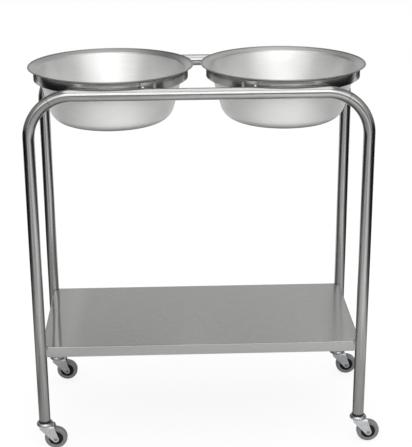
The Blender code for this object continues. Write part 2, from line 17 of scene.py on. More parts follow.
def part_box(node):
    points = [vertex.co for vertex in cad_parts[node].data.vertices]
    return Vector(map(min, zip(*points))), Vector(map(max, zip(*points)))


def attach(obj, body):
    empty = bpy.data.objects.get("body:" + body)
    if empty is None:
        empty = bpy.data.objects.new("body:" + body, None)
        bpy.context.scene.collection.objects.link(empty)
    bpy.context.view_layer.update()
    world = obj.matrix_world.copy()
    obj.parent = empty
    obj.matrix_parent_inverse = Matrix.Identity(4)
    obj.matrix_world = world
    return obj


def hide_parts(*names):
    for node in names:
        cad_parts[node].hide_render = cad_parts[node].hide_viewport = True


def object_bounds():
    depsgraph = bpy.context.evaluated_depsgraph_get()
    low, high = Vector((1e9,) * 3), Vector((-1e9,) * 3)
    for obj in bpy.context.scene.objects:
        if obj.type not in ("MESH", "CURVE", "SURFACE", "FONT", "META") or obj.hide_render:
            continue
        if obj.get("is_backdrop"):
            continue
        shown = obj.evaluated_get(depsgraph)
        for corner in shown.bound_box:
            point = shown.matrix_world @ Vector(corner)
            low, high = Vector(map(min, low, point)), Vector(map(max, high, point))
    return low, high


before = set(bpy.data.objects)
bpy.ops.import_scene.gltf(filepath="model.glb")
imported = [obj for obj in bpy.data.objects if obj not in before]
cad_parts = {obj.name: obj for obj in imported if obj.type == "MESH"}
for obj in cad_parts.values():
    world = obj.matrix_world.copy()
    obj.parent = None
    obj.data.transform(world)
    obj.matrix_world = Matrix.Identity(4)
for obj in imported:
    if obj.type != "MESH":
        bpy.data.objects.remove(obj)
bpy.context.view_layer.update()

# %% [markdown]
# ## From a formula to a mesh
# A piece could be modelled by hand from primitives, but here each one is a grid of points that a formula
# gives, because then every radius is a number that can be read and changed. A grid has rows and columns,
# and either may close on itself. Beside its points it keeps two things for the finishes: how far each row
# and column runs in metres, which becomes a UV map, and a grain vector, which is the place where the
# brushing noise is read.

# %% Grids and meshes
WELD_GAP = 1e-6
CREASE = math.radians(32)


def sheet(points, row_run, column_run, grain, wrap=(False, False)):
    """One grid: points in rows and columns, their runs in metres, and whether rows and columns close."""
    return {"points": points, "run": (row_run, column_run), "grain": grain, "wrap": wrap}


def moved(part, offset):
    """The same grid in another place, with its noise moved along so that copies differ."""
    return {**part, "points": part["points"] + offset, "grain": part["grain"] + offset}


def smooth(mesh):
    """Soft shading everywhere but at the real creases."""
    mesh.shade_smooth()
    mesh.set_sharp_from_angle(angle=CREASE)


def weld(mesh):
    """Joins points that coincide at seams and poles, and turns faces outward."""
    bm = bmesh.new()
    bm.from_mesh(mesh)
    bmesh.ops.remove_doubles(bm, verts=bm.verts, dist=WELD_GAP)
    bmesh.ops.recalc_face_normals(bm, faces=bm.faces)
    bm.to_mesh(mesh)
    bm.free()


def mesh_of(name, sheets):
    """Quads between neighbouring rows and columns of each grid, with coinciding points welded."""
    spots, grains, faces, runs = [], [], [], []
    start = 0
    for part in sheets:
        rows, columns = part["points"].shape[:2]
        i = np.arange(rows - 1 + part["wrap"][0])[:, None]
        j = np.arange(columns - 1 + part["wrap"][1])[None, :]
        corners = [(i, j), (i + 1, j), (i + 1, j + 1), (i, j + 1)]
        faces.append(np.stack([start + (a % rows) * columns + b % columns for a, b in corners], -1))
        u, v = part["run"]
        runs.append(np.stack([np.stack(np.broadcast_arrays(u[a], v[b]), -1) for a, b in corners], -2))
        spots.append(part["points"].reshape(-1, 3))
        grains.append(part["grain"].reshape(-1, 3))
        start += rows * columns
    mesh = bpy.data.meshes.new(name)
    quads = np.concatenate([quad.reshape(-1, 4) for quad in faces])
    mesh.from_pydata(np.concatenate(spots).tolist(), [], quads.tolist())
    flat = np.concatenate([run.reshape(-1, 2) for run in runs])
    mesh.uv_layers.new(name="run").data.foreach_set("uv", flat.astype(np.float32).ravel())
    grain = np.concatenate(grains).astype(np.float32)
    mesh.attributes.new("grain", "FLOAT_VECTOR", "POINT").data.foreach_set("vector", grain.ravel())
    weld(mesh)
    smooth(mesh)
    return mesh


# %% [markdown]
# ## From a mesh to a piece
# Two pieces are sheet metal. Their wall could be a second grid, but a Solidify modifier gives it just as
# well, and a Bevel modifier rounds its edges. Every mesh then becomes a piece that rides on a body of the
# frame, takes its finish, and stands for the solid that it covers.

# %% Walls and pieces
EDGE_SEGMENTS = 2
EDGE_ANGLE = math.radians(50)


def thickened(mesh, thickness, edge=0.0):
    """Mesh of a sheet after Solidify gives it a wall on its inner side and Bevel rounds the wall's edges."""
    work = bpy.data.objects.new("work", mesh)
    bpy.context.scene.collection.objects.link(work)
    wall = work.modifiers.new("wall", "SOLIDIFY")
    wall.thickness = thickness
    wall.offset = -1
    wall.use_even_offset = True
    if edge:
        rounding = work.modifiers.new("edge", "BEVEL")
        rounding.width = edge
        rounding.segments = EDGE_SEGMENTS
        rounding.limit_method = "ANGLE"
        rounding.angle_limit = EDGE_ANGLE
    settled = work.evaluated_get(bpy.context.evaluated_depsgraph_get())
    finished = bpy.data.meshes.new_from_object(settled)
    bpy.data.objects.remove(work)
    smooth(finished)
    return finished


def add_piece(name, mesh, material, body, node):
    """Puts a finished mesh into the scene on its body, in place of the solid that it covers."""
    mesh.materials.clear()
    mesh.materials.append(material)
    piece = bpy.data.objects.new(name, mesh)
    bpy.context.scene.collection.objects.link(piece)
    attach(piece, body)
    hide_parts(node)


# %% [markdown]
# ## Outlines
# Most pieces here were turned, spun, rolled or bent, so they follow from a flat outline. An outline is
# written as its sharp corners and a radius for each, the way a drawing gives it, and the arcs are worked
# out from that.

# %% Outlines and turned solids
FULL_TURN = 2 * math.pi
QUARTER = math.pi / 2


def arc(centre, radius, start, stop, steps):
    """Points centre + radius (cos a, sin a), with a going evenly from start to stop."""
    angle = np.linspace(start, stop, steps + 1)
    return np.asarray(centre) + radius * np.stack([np.cos(angle), np.sin(angle)], -1)


def rounded(corners, radii, steps, closed=False):
    """Corners joined by straight lines, each replaced by an arc of its radius that touches both its lines."""
    corners = [np.asarray(corner, float) for corner in corners]
    pieces = []
    for k, (corner, radius) in enumerate(zip(corners, radii)):
        at_end = not closed and k in (0, len(corners) - 1)
        if radius == 0 or at_end:
            pieces.append(corner[None])
            continue
        back = corners[k - 1] - corner
        ahead = corners[(k + 1) % len(corners)] - corner
        back /= np.linalg.norm(back)
        ahead /= np.linalg.norm(ahead)
        half = math.acos(np.clip(back @ ahead, -1, 1)) / 2
        middle = (back + ahead) / np.linalg.norm(back + ahead)
        centre = corner + middle * radius / math.sin(half)
        first = corner + back * radius / math.tan(half) - centre
        last = corner + ahead * radius / math.tan(half) - centre
        turn = math.pi - 2 * half
        share = np.linspace(0, 1, steps + 1)[:, None]
        swept = np.sin((1 - share) * turn) * first + np.sin(share * turn) * last
        pieces.append(centre + swept / math.sin(turn))
    return np.concatenate(pieces)


def running_length(path, closed=False):
    """Distance along a path of points from its first point, and back to it if the path closes."""
    ends = np.concatenate([path, path[:1]]) if closed else path
    return np.concatenate([[0.0], np.cumsum(np.linalg.norm(np.diff(ends, axis=0), axis=1))])


def turned(outline, sides, stretch=1.0, closed=True):
    """Outline of (radius, height) turned about Z: x = r cos a, y = r sin a, z = h. The grain runs round, so
    the noise is read at the same place pressed together by stretch in x and y, with the length of the outline
    as z."""
    angle = np.linspace(0, FULL_TURN, sides, endpoint=False)[:, None]
    radius, height = outline[:, 0], outline[:, 1]
    length = running_length(outline, closed)
    x = radius * np.cos(angle)
    y = radius * np.sin(angle)
    points = np.stack([x, y, np.broadcast_to(height, x.shape)], -1)
    along_outline = np.broadcast_to(length[:len(outline)], x.shape)
    grain = np.stack([x / stretch, y / stretch, along_outline], -1)
    round_run = np.linspace(0, FULL_TURN * radius.max(), sides + 1)
    return sheet(points, round_run, length, grain, (True, closed))


def laid_along_y(part):
    """A turned grid laid down, so that its axis is Y and its +Z end points to the front."""
    x, y, z = np.moveaxis(part["points"], -1, 0)
    return {**part, "points": np.stack([x, -z, y], -1)}


# %% [markdown]
# ## Shared effects
# Brushed steel, zinc, plastic and rubber share a few effects. Each effect is a node group, built once and
# placed in every material that needs it with its own values: brush marks that follow the grain vector, soft
# smears from wiping, and small scuffs. They put out plain masks from 0 to 1, and the material decides what
# a mask changes.

# %% Node groups for brush marks, smears and scuffs
def add_node(tree, kind, inputs=None, **settings):
    """New node with its settings. An input is either a value or the socket that feeds it."""
    node = tree.nodes.new(kind)
    for key, value in settings.items():
        setattr(node, key, value)
    for key, value in (inputs or {}).items():
        if isinstance(value, bpy.types.NodeSocket):
            tree.links.new(value, node.inputs[key])
        else:
            node.inputs[key].default_value = value
    return node


def ranged(tree, value, low, high, start=0.0, stop=1.0, ease="LINEAR"):
    """A value that goes from start to stop, mapped to low to high and held at those ends."""
    node = add_node(tree, "ShaderNodeMapRange", {
        "Value": value, "From Min": start, "From Max": stop, "To Min": low, "To Max": high},
        interpolation_type=ease)
    return node.outputs["Result"]


def mask_group(name, output, detail, roughness, distortion, low, high):
    """Group that reads noise at a place and scale, and stretches its part from low to high to a mask."""
    group = bpy.data.node_groups.new(name, "ShaderNodeTree")
    group.interface.new_socket("Place", in_out="INPUT", socket_type="NodeSocketVector")
    group.interface.new_socket("Scale", in_out="INPUT", socket_type="NodeSocketFloat")
    group.interface.new_socket(output, in_out="OUTPUT", socket_type="NodeSocketFloat")
    given = add_node(group, "NodeGroupInput").outputs
    noise = add_node(group, "ShaderNodeTexNoise", {
        "Vector": given["Place"], "Scale": given["Scale"], "Detail": detail, "Roughness": roughness,
        "Distortion": distortion})
    spread = ranged(group, noise.outputs["Fac"], 0.0, 1.0, low, high, "SMOOTHSTEP")
    add_node(group, "NodeGroupOutput", {output: spread})
    return group


BRUSH = mask_group("brush marks", "Marks", detail=4.0, roughness=0.6, distortion=0.0, low=0.3, high=0.7)
SMEAR = mask_group("wiping smears", "Smears", detail=3.0, roughness=0.55, distortion=0.8, low=0.35, high=0.75)
SCUFF = mask_group("small scuffs", "Scuffs", detail=6.0, roughness=0.7, distortion=0.3, low=0.55, high=0.75)
print("effects:", [group.name for group in (BRUSH, SMEAR, SCUFF)])

# %% [markdown]
# ## Building a finish
# A finish is a shader whose inputs are fed by small sums of masks. These helpers each add one step of such
# a sum, so that a material below reads as a list of what happens to its colour, its roughness and its
# surface.

# %% Steps of a finish
def new_material(name):
    """Empty material with its shader and output joined."""
    material = bpy.data.materials.new(name)
    material.use_nodes = True
    return material


def shader_of(material):
    """Node tree of a material, and its shader."""
    return material.node_tree, material.node_tree.nodes["Principled BSDF"]


def feed(shader, name, socket):
    """Joins a socket to an input of the shader, in place of what fed it."""
    shader.id_data.links.new(socket, shader.inputs[name])


def feeding(shader, name):
    """The socket that feeds an input of the shader."""
    return shader.inputs[name].links[0].from_socket


def own_place(tree):
    """Where a point lies on the object, in metres."""
    return add_node(tree, "ShaderNodeTexCoord").outputs["Object"]


def grain_vector(tree):
    """The place that the mesh keeps for its brushing noise."""
    return add_node(tree, "ShaderNodeAttribute", attribute_name="grain").outputs["Vector"]


def parts_of(tree, vector):
    """X, Y and Z of a vector."""
    return add_node(tree, "ShaderNodeSeparateXYZ", {0: vector}).outputs


def mask(tree, group, place, scale):
    """One of the shared effects, read at a place. Returns its mask socket."""
    return add_node(tree, "ShaderNodeGroup", {"Place": place, "Scale": scale}, node_tree=group).outputs[0]


def computed(tree, operation, *values):
    """Result of one step of arithmetic."""
    return add_node(tree, "ShaderNodeMath", dict(enumerate(values)), operation=operation).outputs[0]


def blended(tree, factor, first, second, blend="MIX"):
    """Two colours mixed by a mask."""
    node = add_node(tree, "ShaderNodeMix", data_type="RGBA", blend_type=blend)
    for key, value in (("Factor_Float", factor), ("A_Color", first), ("B_Color", second)):
        socket = next(item for item in node.inputs if item.identifier == key)
        if isinstance(value, bpy.types.NodeSocket):
            tree.links.new(value, socket)
        else:
            socket.default_value = value if key == "Factor_Float" else (*value, 1.0)
    return next(item for item in node.outputs if item.identifier == "Result_Color")


def multiplied(tree, first, second):
    """Product of two colours or masks."""
    return blended(tree, 1.0, first, second, "MULTIPLY")


def uneven(tree, rough, spread, marks, smear, smears):
    """Roughness that the marks change by spread to both sides, and the smears raise by smear."""
    by_marks = ranged(tree, marks, rough - spread, rough + spread)
    return computed(tree, "ADD", by_marks, ranged(tree, smears, 0.0, smear))


def raised(tree, height, depth, under=None):
    """Normal of a surface that a mask raises by a depth in metres, on top of another such normal."""
    bump = add_node(tree, "ShaderNodeBump", {"Height": height, "Distance": depth, "Strength": 1.0})
    if under is not None:
        tree.links.new(under, bump.inputs["Normal"])
    return bump.outputs["Normal"]


# %% [markdown]
# ## Steel finishes
# All the steel is stainless or zinc plated, so it is metal with a grey colour. What tells the pieces apart
# is how they were finished: the tube is polished along its length, the basins are spun, the shelf is
# brushed sheet, the rings are bright bar. One function makes them all. Brush marks shift colour and
# roughness a little and raise a very low bump, and smears dull it in patches. Anisotropy stretches the
# highlights across the marks, as real brushing does.

# %% Function for steel
SMEAR_SCALE = 9.0
WAVE_SCALE = 28.0
ACROSS_MARKS = 0.25          # part of a full turn


def steel(name, dark, bright, rough, spread, fineness, depth, stretch_highlight=0.0, smear=0.06, stain=0.35,
          waves=0.0):
    """Metal between two greys. Rough is the middle roughness and spread its change over the brush marks,
    fineness is the noise scale per metre, depth the bump in metres, smear and stain are what smears do to
    roughness and colour, and waves is the height of slow unevenness in metres."""
    material = new_material(name)
    tree, shader = shader_of(material)
    shader.inputs["Metallic"].default_value = 1.0
    place = own_place(tree)
    marks = mask(tree, BRUSH, grain_vector(tree), fineness)
    smears = mask(tree, SMEAR, place, SMEAR_SCALE)
    colour = blended(tree, marks, dark, bright)
    feed(shader, "Base Color", blended(tree, ranged(tree, smears, 0.0, stain), colour, dark))
    feed(shader, "Roughness", uneven(tree, rough, spread, marks, smear, smears))
    slow = raised(tree, mask(tree, SMEAR, place, WAVE_SCALE), waves) if waves else None
    feed(shader, "Normal", raised(tree, marks, depth, slow))
    if stretch_highlight:
        shader.inputs["Anisotropic"].default_value = stretch_highlight
        shader.inputs["Anisotropic Rotation"].default_value = ACROSS_MARKS
        tangent = add_node(tree, "ShaderNodeTangent", direction_type="UV_MAP", uv_map="run")
        feed(shader, "Tangent", tangent.outputs["Tangent"])
    return material


def stepped(tree, length, first, *steps, blend=0.002):
    """A value along a section that starts as first and becomes each step's value past the step's place."""
    total = first
    for place, value in steps:
        change = ranged(tree, length, 0.0, value - first, place - blend, place + blend)
        total = computed(tree, "ADD", total, change)
        first = value
    return total


# %% [markdown]
# ## Frame tubes
# Each frame is one tube, bent into an upside-down U: leg, bend, rail, bend and leg. A curve with a bevel
# would make it too, but here a circle is carried along that path, out along the outside and back along the
# inside, so that the wall has its thickness and its open ends.

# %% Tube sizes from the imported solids
TUBE_WALL = 0.0015
BEND_RADIUS = 0.092
tube_low, tube_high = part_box("front_frame_tube")
TUBE_RADIUS = (tube_high.y - tube_low.y) / 2
LEG_BOTTOM = tube_low.z
RAIL_Z = tube_high.z - TUBE_RADIUS
MIDDLE_X = (tube_low.x + tube_high.x) / 2
HALF_LEGS = (tube_high.x - tube_low.x) / 2 - TUBE_RADIUS
HALF_FRAME = -(tube_low.y + tube_high.y) / 2
print(f"tube radius {1000 * TUBE_RADIUS:.1f} mm, rail at {1000 * RAIL_Z:.1f} mm")

# %% Frame tube surface
TUBE_SIDES = 64
LEG_STATIONS = 12
BEND_STEPS = 40
RAIL_STATIONS = 12
END_ROUNDING = 0.0004
TUBE_STRETCH = 40.0


def tube_path():
    """Stations along the U: x and z of the tube's middle, and the angle of the way out of the bends."""
    bend_x = HALF_LEGS - BEND_RADIUS
    bend_z = RAIL_Z - BEND_RADIUS
    down = np.linspace(LEG_BOTTOM + END_ROUNDING, bend_z, LEG_STATIONS, endpoint=False)
    left = np.linspace(math.pi, QUARTER, BEND_STEPS + 1)
    along_rail = np.linspace(-bend_x, bend_x, RAIL_STATIONS + 2)[1:-1]
    leg_x = np.full(LEG_STATIONS, HALF_LEGS)
    x = np.concatenate([-leg_x, -bend_x + BEND_RADIUS * np.cos(left), along_rail,
                        bend_x - BEND_RADIUS * np.cos(left[::-1]), leg_x])
    z_left = np.concatenate([down, bend_z + BEND_RADIUS * np.sin(left)])
    z = np.concatenate([z_left, np.full(RAIL_STATIONS, RAIL_Z), z_left[::-1]])
    angle_left = np.concatenate([np.full(LEG_STATIONS, math.pi), left])
    angle = np.concatenate([angle_left, np.full(RAIL_STATIONS, QUARTER), math.pi - angle_left[::-1]])
    return x, z, angle


def frame_tube(y):
    """Circle of radius R carried along the path: path point + R cos(f) outward + R sin(f) along Y. The rows
    go out along the outer skin and return along the inner one, and rounded ends join the two."""
    x, z, angle = tube_path()
    outer = np.concatenate([[0], np.arange(len(x)), [len(x) - 1]])
    order = np.concatenate([outer, outer[::-1]])
    outer_ends = [0, len(outer) - 1]
    inner_ends = [len(outer), len(order) - 1]
    radius = np.repeat([TUBE_RADIUS, TUBE_RADIUS - TUBE_WALL], len(outer))
    radius[outer_ends] -= END_ROUNDING
    radius[inner_ends] += END_ROUNDING
    drop = np.zeros(len(order))
    drop[outer_ends + inner_ends] = END_ROUNDING
    length = running_length(np.stack([x, z], -1))[order]
    around = np.linspace(0, FULL_TURN, TUBE_SIDES, endpoint=False)
    out = radius[:, None] * np.cos(around)
    side = radius[:, None] * np.sin(around)
    turn = angle[order][:, None]
    points = np.stack([MIDDLE_X + x[order][:, None] + out * np.cos(turn), y + side,
                       (z[order] - drop)[:, None] + out * np.sin(turn)], -1)
    grain = np.stack([np.broadcast_to(length[:, None] / TUBE_STRETCH, out.shape), out, side], -1)
    column_run = np.linspace(0, FULL_TURN * TUBE_RADIUS, TUBE_SIDES + 1)
    return sheet(points, np.append(length, length[0]), column_run, grain, (True, True))


print("stations along a tube:", len(tube_path()[0]))

# %% [markdown]
# The tube is polished lengthwise. On each bend the polishing of rail and leg meets in a fine dark line
# round the tube, and the legs below it are a little duller. The inner half of each bend gets a painted
# shade, a dark tone that stands in for the darker floor it mirrors. All three could be painted by hand.
# Here they follow from the grain vector, which already holds the length along the tube and the way out of the
# bend.

# %% Finish and placing of the tubes
WITNESS_ANGLE = math.radians(60)     # the dark line, from the leg round the bend
WITNESS_WIDTH = 0.0014
LINE_TONE = (0.16, 0.16, 0.16)
LINE_SHARE = 0.85
LEG_TONE = (0.34, 0.34, 0.335)
LEG_SHARE = 0.25
LEG_DULLNESS = 0.03
# painted shade on the inner half of each bend, a dark tone in place of the darker floor it mirrors
BEND_SHADE_TONE = (0.13, 0.13, 0.128)
BEND_SHADE_SHARE = 0.75
BEND_SHADE_ALONG = (0.3 * BEND_RADIUS, 0.9 * BEND_RADIUS)      # from the middle of the bend
BEND_SHADE_INWARD = (0.1 * TUBE_RADIUS, -0.7 * TUBE_RADIUS)    # from the tube's middle, outward


def tube_steel():
    """Polished tube. The grain's first value is the length over the stretch, so |length - half| is the way
    from the rail's middle. Its second value is the way out from the bend's centre."""
    material = steel("frame_steel", (0.38, 0.38, 0.375), (0.52, 0.52, 0.51), rough=0.14, spread=0.03,
                     fineness=900.0, depth=0.000006)
    tree, shader = shader_of(material)
    x, z, _ = tube_path()
    half = running_length(np.stack([x, z], -1))[-1] / 2
    line = RAIL_Z - BEND_RADIUS - LEG_BOTTOM - END_ROUNDING + BEND_RADIUS * WITNESS_ANGLE
    grain = parts_of(tree, grain_vector(tree))
    centred = computed(tree, "MULTIPLY_ADD", grain["X"], TUBE_STRETCH, -half)
    past_line = computed(tree, "SUBTRACT", computed(tree, "ABSOLUTE", centred), half - line)
    off_line = computed(tree, "ABSOLUTE", past_line)
    on_line = ranged(tree, off_line, LINE_SHARE, 0.0, 0.0, WITNESS_WIDTH, "SMOOTHSTEP")
    on_leg = ranged(tree, past_line, 0.0, 1.0, -WITNESS_WIDTH, WITNESS_WIDTH)
    bend_middle = BEND_RADIUS * (WITNESS_ANGLE - QUARTER / 2)
    off_middle = computed(tree, "ABSOLUTE", computed(tree, "SUBTRACT", past_line, bend_middle))
    # painted shade: strongest at the middle of each bend, and only on its inner half
    bend_shade = ranged(tree, off_middle, BEND_SHADE_SHARE, 0.0, *BEND_SHADE_ALONG, "SMOOTHSTEP")
    inside = ranged(tree, grain["Y"], 0.0, 1.0, *BEND_SHADE_INWARD, "SMOOTHSTEP")
    colour = feeding(shader, "Base Color")
    colour = blended(tree, ranged(tree, on_leg, 0.0, LEG_SHARE), colour, LEG_TONE)
    colour = blended(tree, computed(tree, "MULTIPLY", bend_shade, inside), colour, BEND_SHADE_TONE)
    feed(shader, "Base Color", blended(tree, on_line, colour, LINE_TONE))
    duller = ranged(tree, on_leg, 0.0, LEG_DULLNESS)
    feed(shader, "Roughness", computed(tree, "ADD", feeding(shader, "Roughness"), duller))
    return material


FRAME_STEEL = tube_steel()
for name, y in (("front", -HALF_FRAME), ("rear", HALF_FRAME)):
    tube = mesh_of(f"{name}_tube", [frame_tube(y)])
    add_piece(f"{name}_tube", tube, FRAME_STEEL, "frame", f"{name}_frame_tube")
    print(name, "tube:", len(tube.polygons), "faces")

# %% [markdown]
# ## Lower shelf
# The shelf is a sheet of steel whose four edges are folded down, with a round notch at each leg. Cutting
# the notches out of a plate would leave untidy faces, so its top and its front and rear folds are one
# profile carried along X, and the end of every line stops at the notch. The side folds are two more strips
# that share the top's end points. The sheet then gets its thickness from the Solidify modifier.

# %% Shelf surface
FIT_GAP = 0.0003             # room between pieces that meet
SHELF_SHEET = 0.0012
SHELF_FOLD = 0.003
SHELF_INSET = 0.001
FOLD_STEPS = 6
NOTCH_STEPS = 16
FLAT_LINES = 12              # from the shelf's middle to the notch
SHELF_LINES = 33
SHELF_STRETCH = 60.0
NOTCH_RADIUS = TUBE_RADIUS + FIT_GAP
shelf_low, shelf_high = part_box("lower_shelf")
SHELF_TOP = shelf_high.z
SHELF_BOTTOM = shelf_low.z


def fold_profile(half):
    """Half of the folded section, from its bend outward: quarter circle of the fold's radius, and down."""
    bend = arc((half - SHELF_FOLD, SHELF_TOP - SHELF_FOLD), SHELF_FOLD, QUARTER, 0.0, FOLD_STEPS)
    return np.concatenate([bend, [[half, SHELF_BOTTOM]]])


def end_of_line(y):
    """Half length of the shelf at a distance y from its middle: the notch circle by a leg, else the fold."""
    from_leg = np.abs(y) - HALF_FRAME
    notch = HALF_LEGS - np.sqrt(np.maximum(NOTCH_RADIUS ** 2 - from_leg ** 2, 0.0))
    fold_line = HALF_LEGS - SHELF_INSET - SHELF_FOLD
    return np.where(np.abs(from_leg) < NOTCH_RADIUS, np.minimum(notch, fold_line), fold_line)


def shelf_sheets():
    """Top with front and rear folds: x = u times the end of the line at y. Side folds: the same about Y."""
    half_y = HALF_FRAME - SHELF_INSET
    half_x = HALF_LEGS - SHELF_INSET
    rear = fold_profile(half_y)
    near_notch = HALF_FRAME - NOTCH_RADIUS * np.cos(np.linspace(0, QUARTER, NOTCH_STEPS + 1))
    near_notch = near_notch[near_notch < half_y - SHELF_FOLD - WELD_GAP]
    flat = np.concatenate([np.linspace(0, HALF_FRAME - NOTCH_RADIUS, FLAT_LINES), near_notch[1:]])
    y_half = np.concatenate([flat, rear[:, 0]])
    z_half = np.concatenate([np.full(len(flat), SHELF_TOP), rear[:, 1]])
    y = np.concatenate([-y_half[:0:-1], y_half])
    z = np.concatenate([z_half[:0:-1], z_half])
    share = np.linspace(-1, 1, SHELF_LINES)
    x = share[:, None] * end_of_line(y)
    points = np.stack([MIDDLE_X + x, np.broadcast_to(y, x.shape), np.broadcast_to(z, x.shape)], -1)
    length = running_length(np.stack([y, z], -1))
    grain = np.stack([x / SHELF_STRETCH, np.broadcast_to(length, x.shape), np.zeros(x.shape)], -1)
    sheets = [sheet(points, share * half_x, length, grain)]
    strip_y = np.concatenate([-flat[FLAT_LINES - 1:0:-1], flat[:FLAT_LINES]])
    strip_length = length[np.searchsorted(y, strip_y - WELD_GAP)]
    fold = fold_profile(half_x)
    fold_run = half_x + running_length(fold)
    for side in (-1, 1):
        x, strip = np.broadcast_arrays(side * fold[:, 0][:, None], strip_y)
        height = np.broadcast_to(fold[:, 1][:, None], x.shape)
        points = np.stack([MIDDLE_X + x, strip, height], -1)
        grain = np.stack([np.broadcast_to(side * fold_run[:, None] / SHELF_STRETCH, x.shape),
                          np.broadcast_to(strip_length, x.shape), np.zeros(x.shape)], -1)
        sheets.append(sheet(points, side * fold_run, strip_length, grain))
    return sheets


print(f"shelf top at {1000 * SHELF_TOP:.1f} mm, flange {1000 * (SHELF_TOP - SHELF_BOTTOM):.1f} mm")

# %% [markdown]
# The shelf is brushed along its length, so its highlights stretch across. Its front fold gets a painted
# shade, a darker tone that sets how bright the fold's highlight looks. Two marks of its making show too:
# the left end is smoother and mirrors the leg beside it, and welding has left a brown tint round each leg.

# %% Finish and placing of the shelf
SHELF_METAL = 0.82           # dull brushed metal scatters part of its light
# painted shade on the front fold, beside the tone of the flat sheet
FOLD_SHADE = 0.75
FOLD_FROM = 0.3 * SHELF_FOLD
FOLD_TO = 1.5 * SHELF_FOLD
FOLD_BLEND = 0.3 * SHELF_FOLD
SMOOTH_END = 0.075
SMOOTH_BLEND = 0.02
SMOOTHER = -0.15
HEAT_WIDTH = 0.005
HEAT_SHARE = 0.85
HEAT_TONE = (0.13, 0.11, 0.085)


def shelf_steel():
    """Brushed sheet. The grain's second value is the length along the section, from the front flange's lower
    edge up to the fold and on over the top. The tint follows the distance from the nearest leg."""
    material = steel("shelf_steel", (0.402, 0.402, 0.394), (0.422, 0.422, 0.414), rough=0.26, spread=0.008,
                     fineness=1100.0, depth=0.0000004, stretch_highlight=0.95, smear=0.012, stain=0.12)
    tree, shader = shader_of(material)
    shader.inputs["Metallic"].default_value = SHELF_METAL
    length = parts_of(tree, grain_vector(tree))["Y"]
    flange = SHELF_TOP - SHELF_FOLD - SHELF_BOTTOM
    # painted shade along the front fold
    shade = stepped(tree, length, 1.0, (flange + FOLD_FROM, FOLD_SHADE), (flange + FOLD_TO, 1.0),
                    blend=FOLD_BLEND)
    colour = multiplied(tree, feeding(shader, "Base Color"), shade)
    centred = add_node(tree, "ShaderNodeVectorMath", {
        0: own_place(tree), 1: (MIDDLE_X, 0.0, SHELF_TOP)}, operation="SUBTRACT").outputs[0]
    one_corner = add_node(tree, "ShaderNodeVectorMath", {0: centred}, operation="ABSOLUTE").outputs[0]
    from_leg = add_node(tree, "ShaderNodeVectorMath", {
        0: one_corner, 1: (HALF_LEGS, HALF_FRAME, 0.0)}, operation="DISTANCE").outputs["Value"]
    heat = stepped(tree, from_leg, HEAT_SHARE, (NOTCH_RADIUS + HEAT_WIDTH / 2, 0.0), blend=HEAT_WIDTH / 2)
    feed(shader, "Base Color", blended(tree, heat, colour, HEAT_TONE))
    x = parts_of(tree, centred)["X"]
    smoother = stepped(tree, x, SMOOTHER, (SMOOTH_END - HALF_LEGS, 0.0), blend=SMOOTH_BLEND)
    feed(shader, "Roughness", computed(tree, "ADD", feeding(shader, "Roughness"), smoother))
    return material


shelf = thickened(mesh_of("shelf_sheet", shelf_sheets()), SHELF_SHEET)
add_piece("shelf_sheet", shelf, shelf_steel(), "frame", "lower_shelf")
print("shelf:", len(shelf.polygons), "faces")

# %% [markdown]
# ## Basins
# A basin is spun from a disc of sheet: a flat base, a wide curve, a straight wall that leans out, and a
# flared rim with a rolled edge. Its section is written as corners and radii, the inside follows at the
# sheet's thickness, and the whole is turned about the basin's axis, much as a lathe does it.

# %% Basin section
BASIN_SHEET = 0.001
RIM_BEAD = 0.0012
BASIN_DEPTH = 0.121
NECK_RADIUS = 0.161
FLANGE_SLOPE = math.radians(20)
WALL_DRAFT = math.radians(16)
NECK_FILLET = 0.007
BASE_FILLET = 0.037
FILLET_STEPS = 24
BEAD_STEPS = 20


def offset_path(path, distance):
    """Open path of straight lines moved sideways to its left, with mitred corners."""
    path = np.asarray(path, float)
    along = np.diff(path, axis=0)
    normal = np.stack([-along[:, 1], along[:, 0]], -1) / np.linalg.norm(along, axis=1)[:, None]
    before = np.concatenate([normal[:1], normal])
    after = np.concatenate([normal, normal[-1:]])
    reach = 1 + (before * after).sum(1, keepdims=True)
    return path + distance * (before + after) / reach


def basin_outline(rim_radius, base_z):
    """Inside from the axis up to the rim, round the rolled edge, and down the outside to the axis again."""
    rim = (rim_radius - RIM_BEAD, base_z + BASIN_DEPTH)
    neck_z = rim[1] - (rim[0] - NECK_RADIUS) * math.tan(FLANGE_SLOPE)
    base = (NECK_RADIUS - (neck_z - base_z) * math.tan(WALL_DRAFT), base_z)
    under = [rim, (NECK_RADIUS, neck_z), base, (0.0, base_z)]
    upper = offset_path(under, -BASIN_SHEET)
    join = math.asin(BASIN_SHEET / 2 / RIM_BEAD)
    bead = arc(offset_path(under, -BASIN_SHEET / 2)[0], RIM_BEAD, FLANGE_SLOPE + math.pi - join,
               FLANGE_SLOPE - math.pi + join, BEAD_STEPS)
    inner_radii = [0, BASE_FILLET - BASIN_SHEET, NECK_FILLET + BASIN_SHEET, 0]
    inside = rounded(upper[::-1], inner_radii, FILLET_STEPS)
    outside = rounded(under, [0, NECK_FILLET, BASE_FILLET, 0], FILLET_STEPS)
    return np.concatenate([inside[:-1], bead, outside[1:]])


basin_low, basin_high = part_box("left_basin")
RIM_RADIUS = (basin_high.x - basin_low.x) / 2
BASIN_SECTION = basin_outline(RIM_RADIUS, basin_low.z)
print(f"basin section: {len(BASIN_SECTION)} points, rim radius {1000 * RIM_RADIUS:.1f} mm")

# %% [markdown]
# Spinning leaves fine rings, so the grain runs round. One material covers the whole basin. The length along
# the section says where a point lies, and the finish changes with it: satin inside, a polished rim and a dull
# outside. Two painted shades follow it too: a dark line along the rim's rolled lip, and a dark band round the
# outside's bottom corner, where the bowl mirrors the shelf below it.

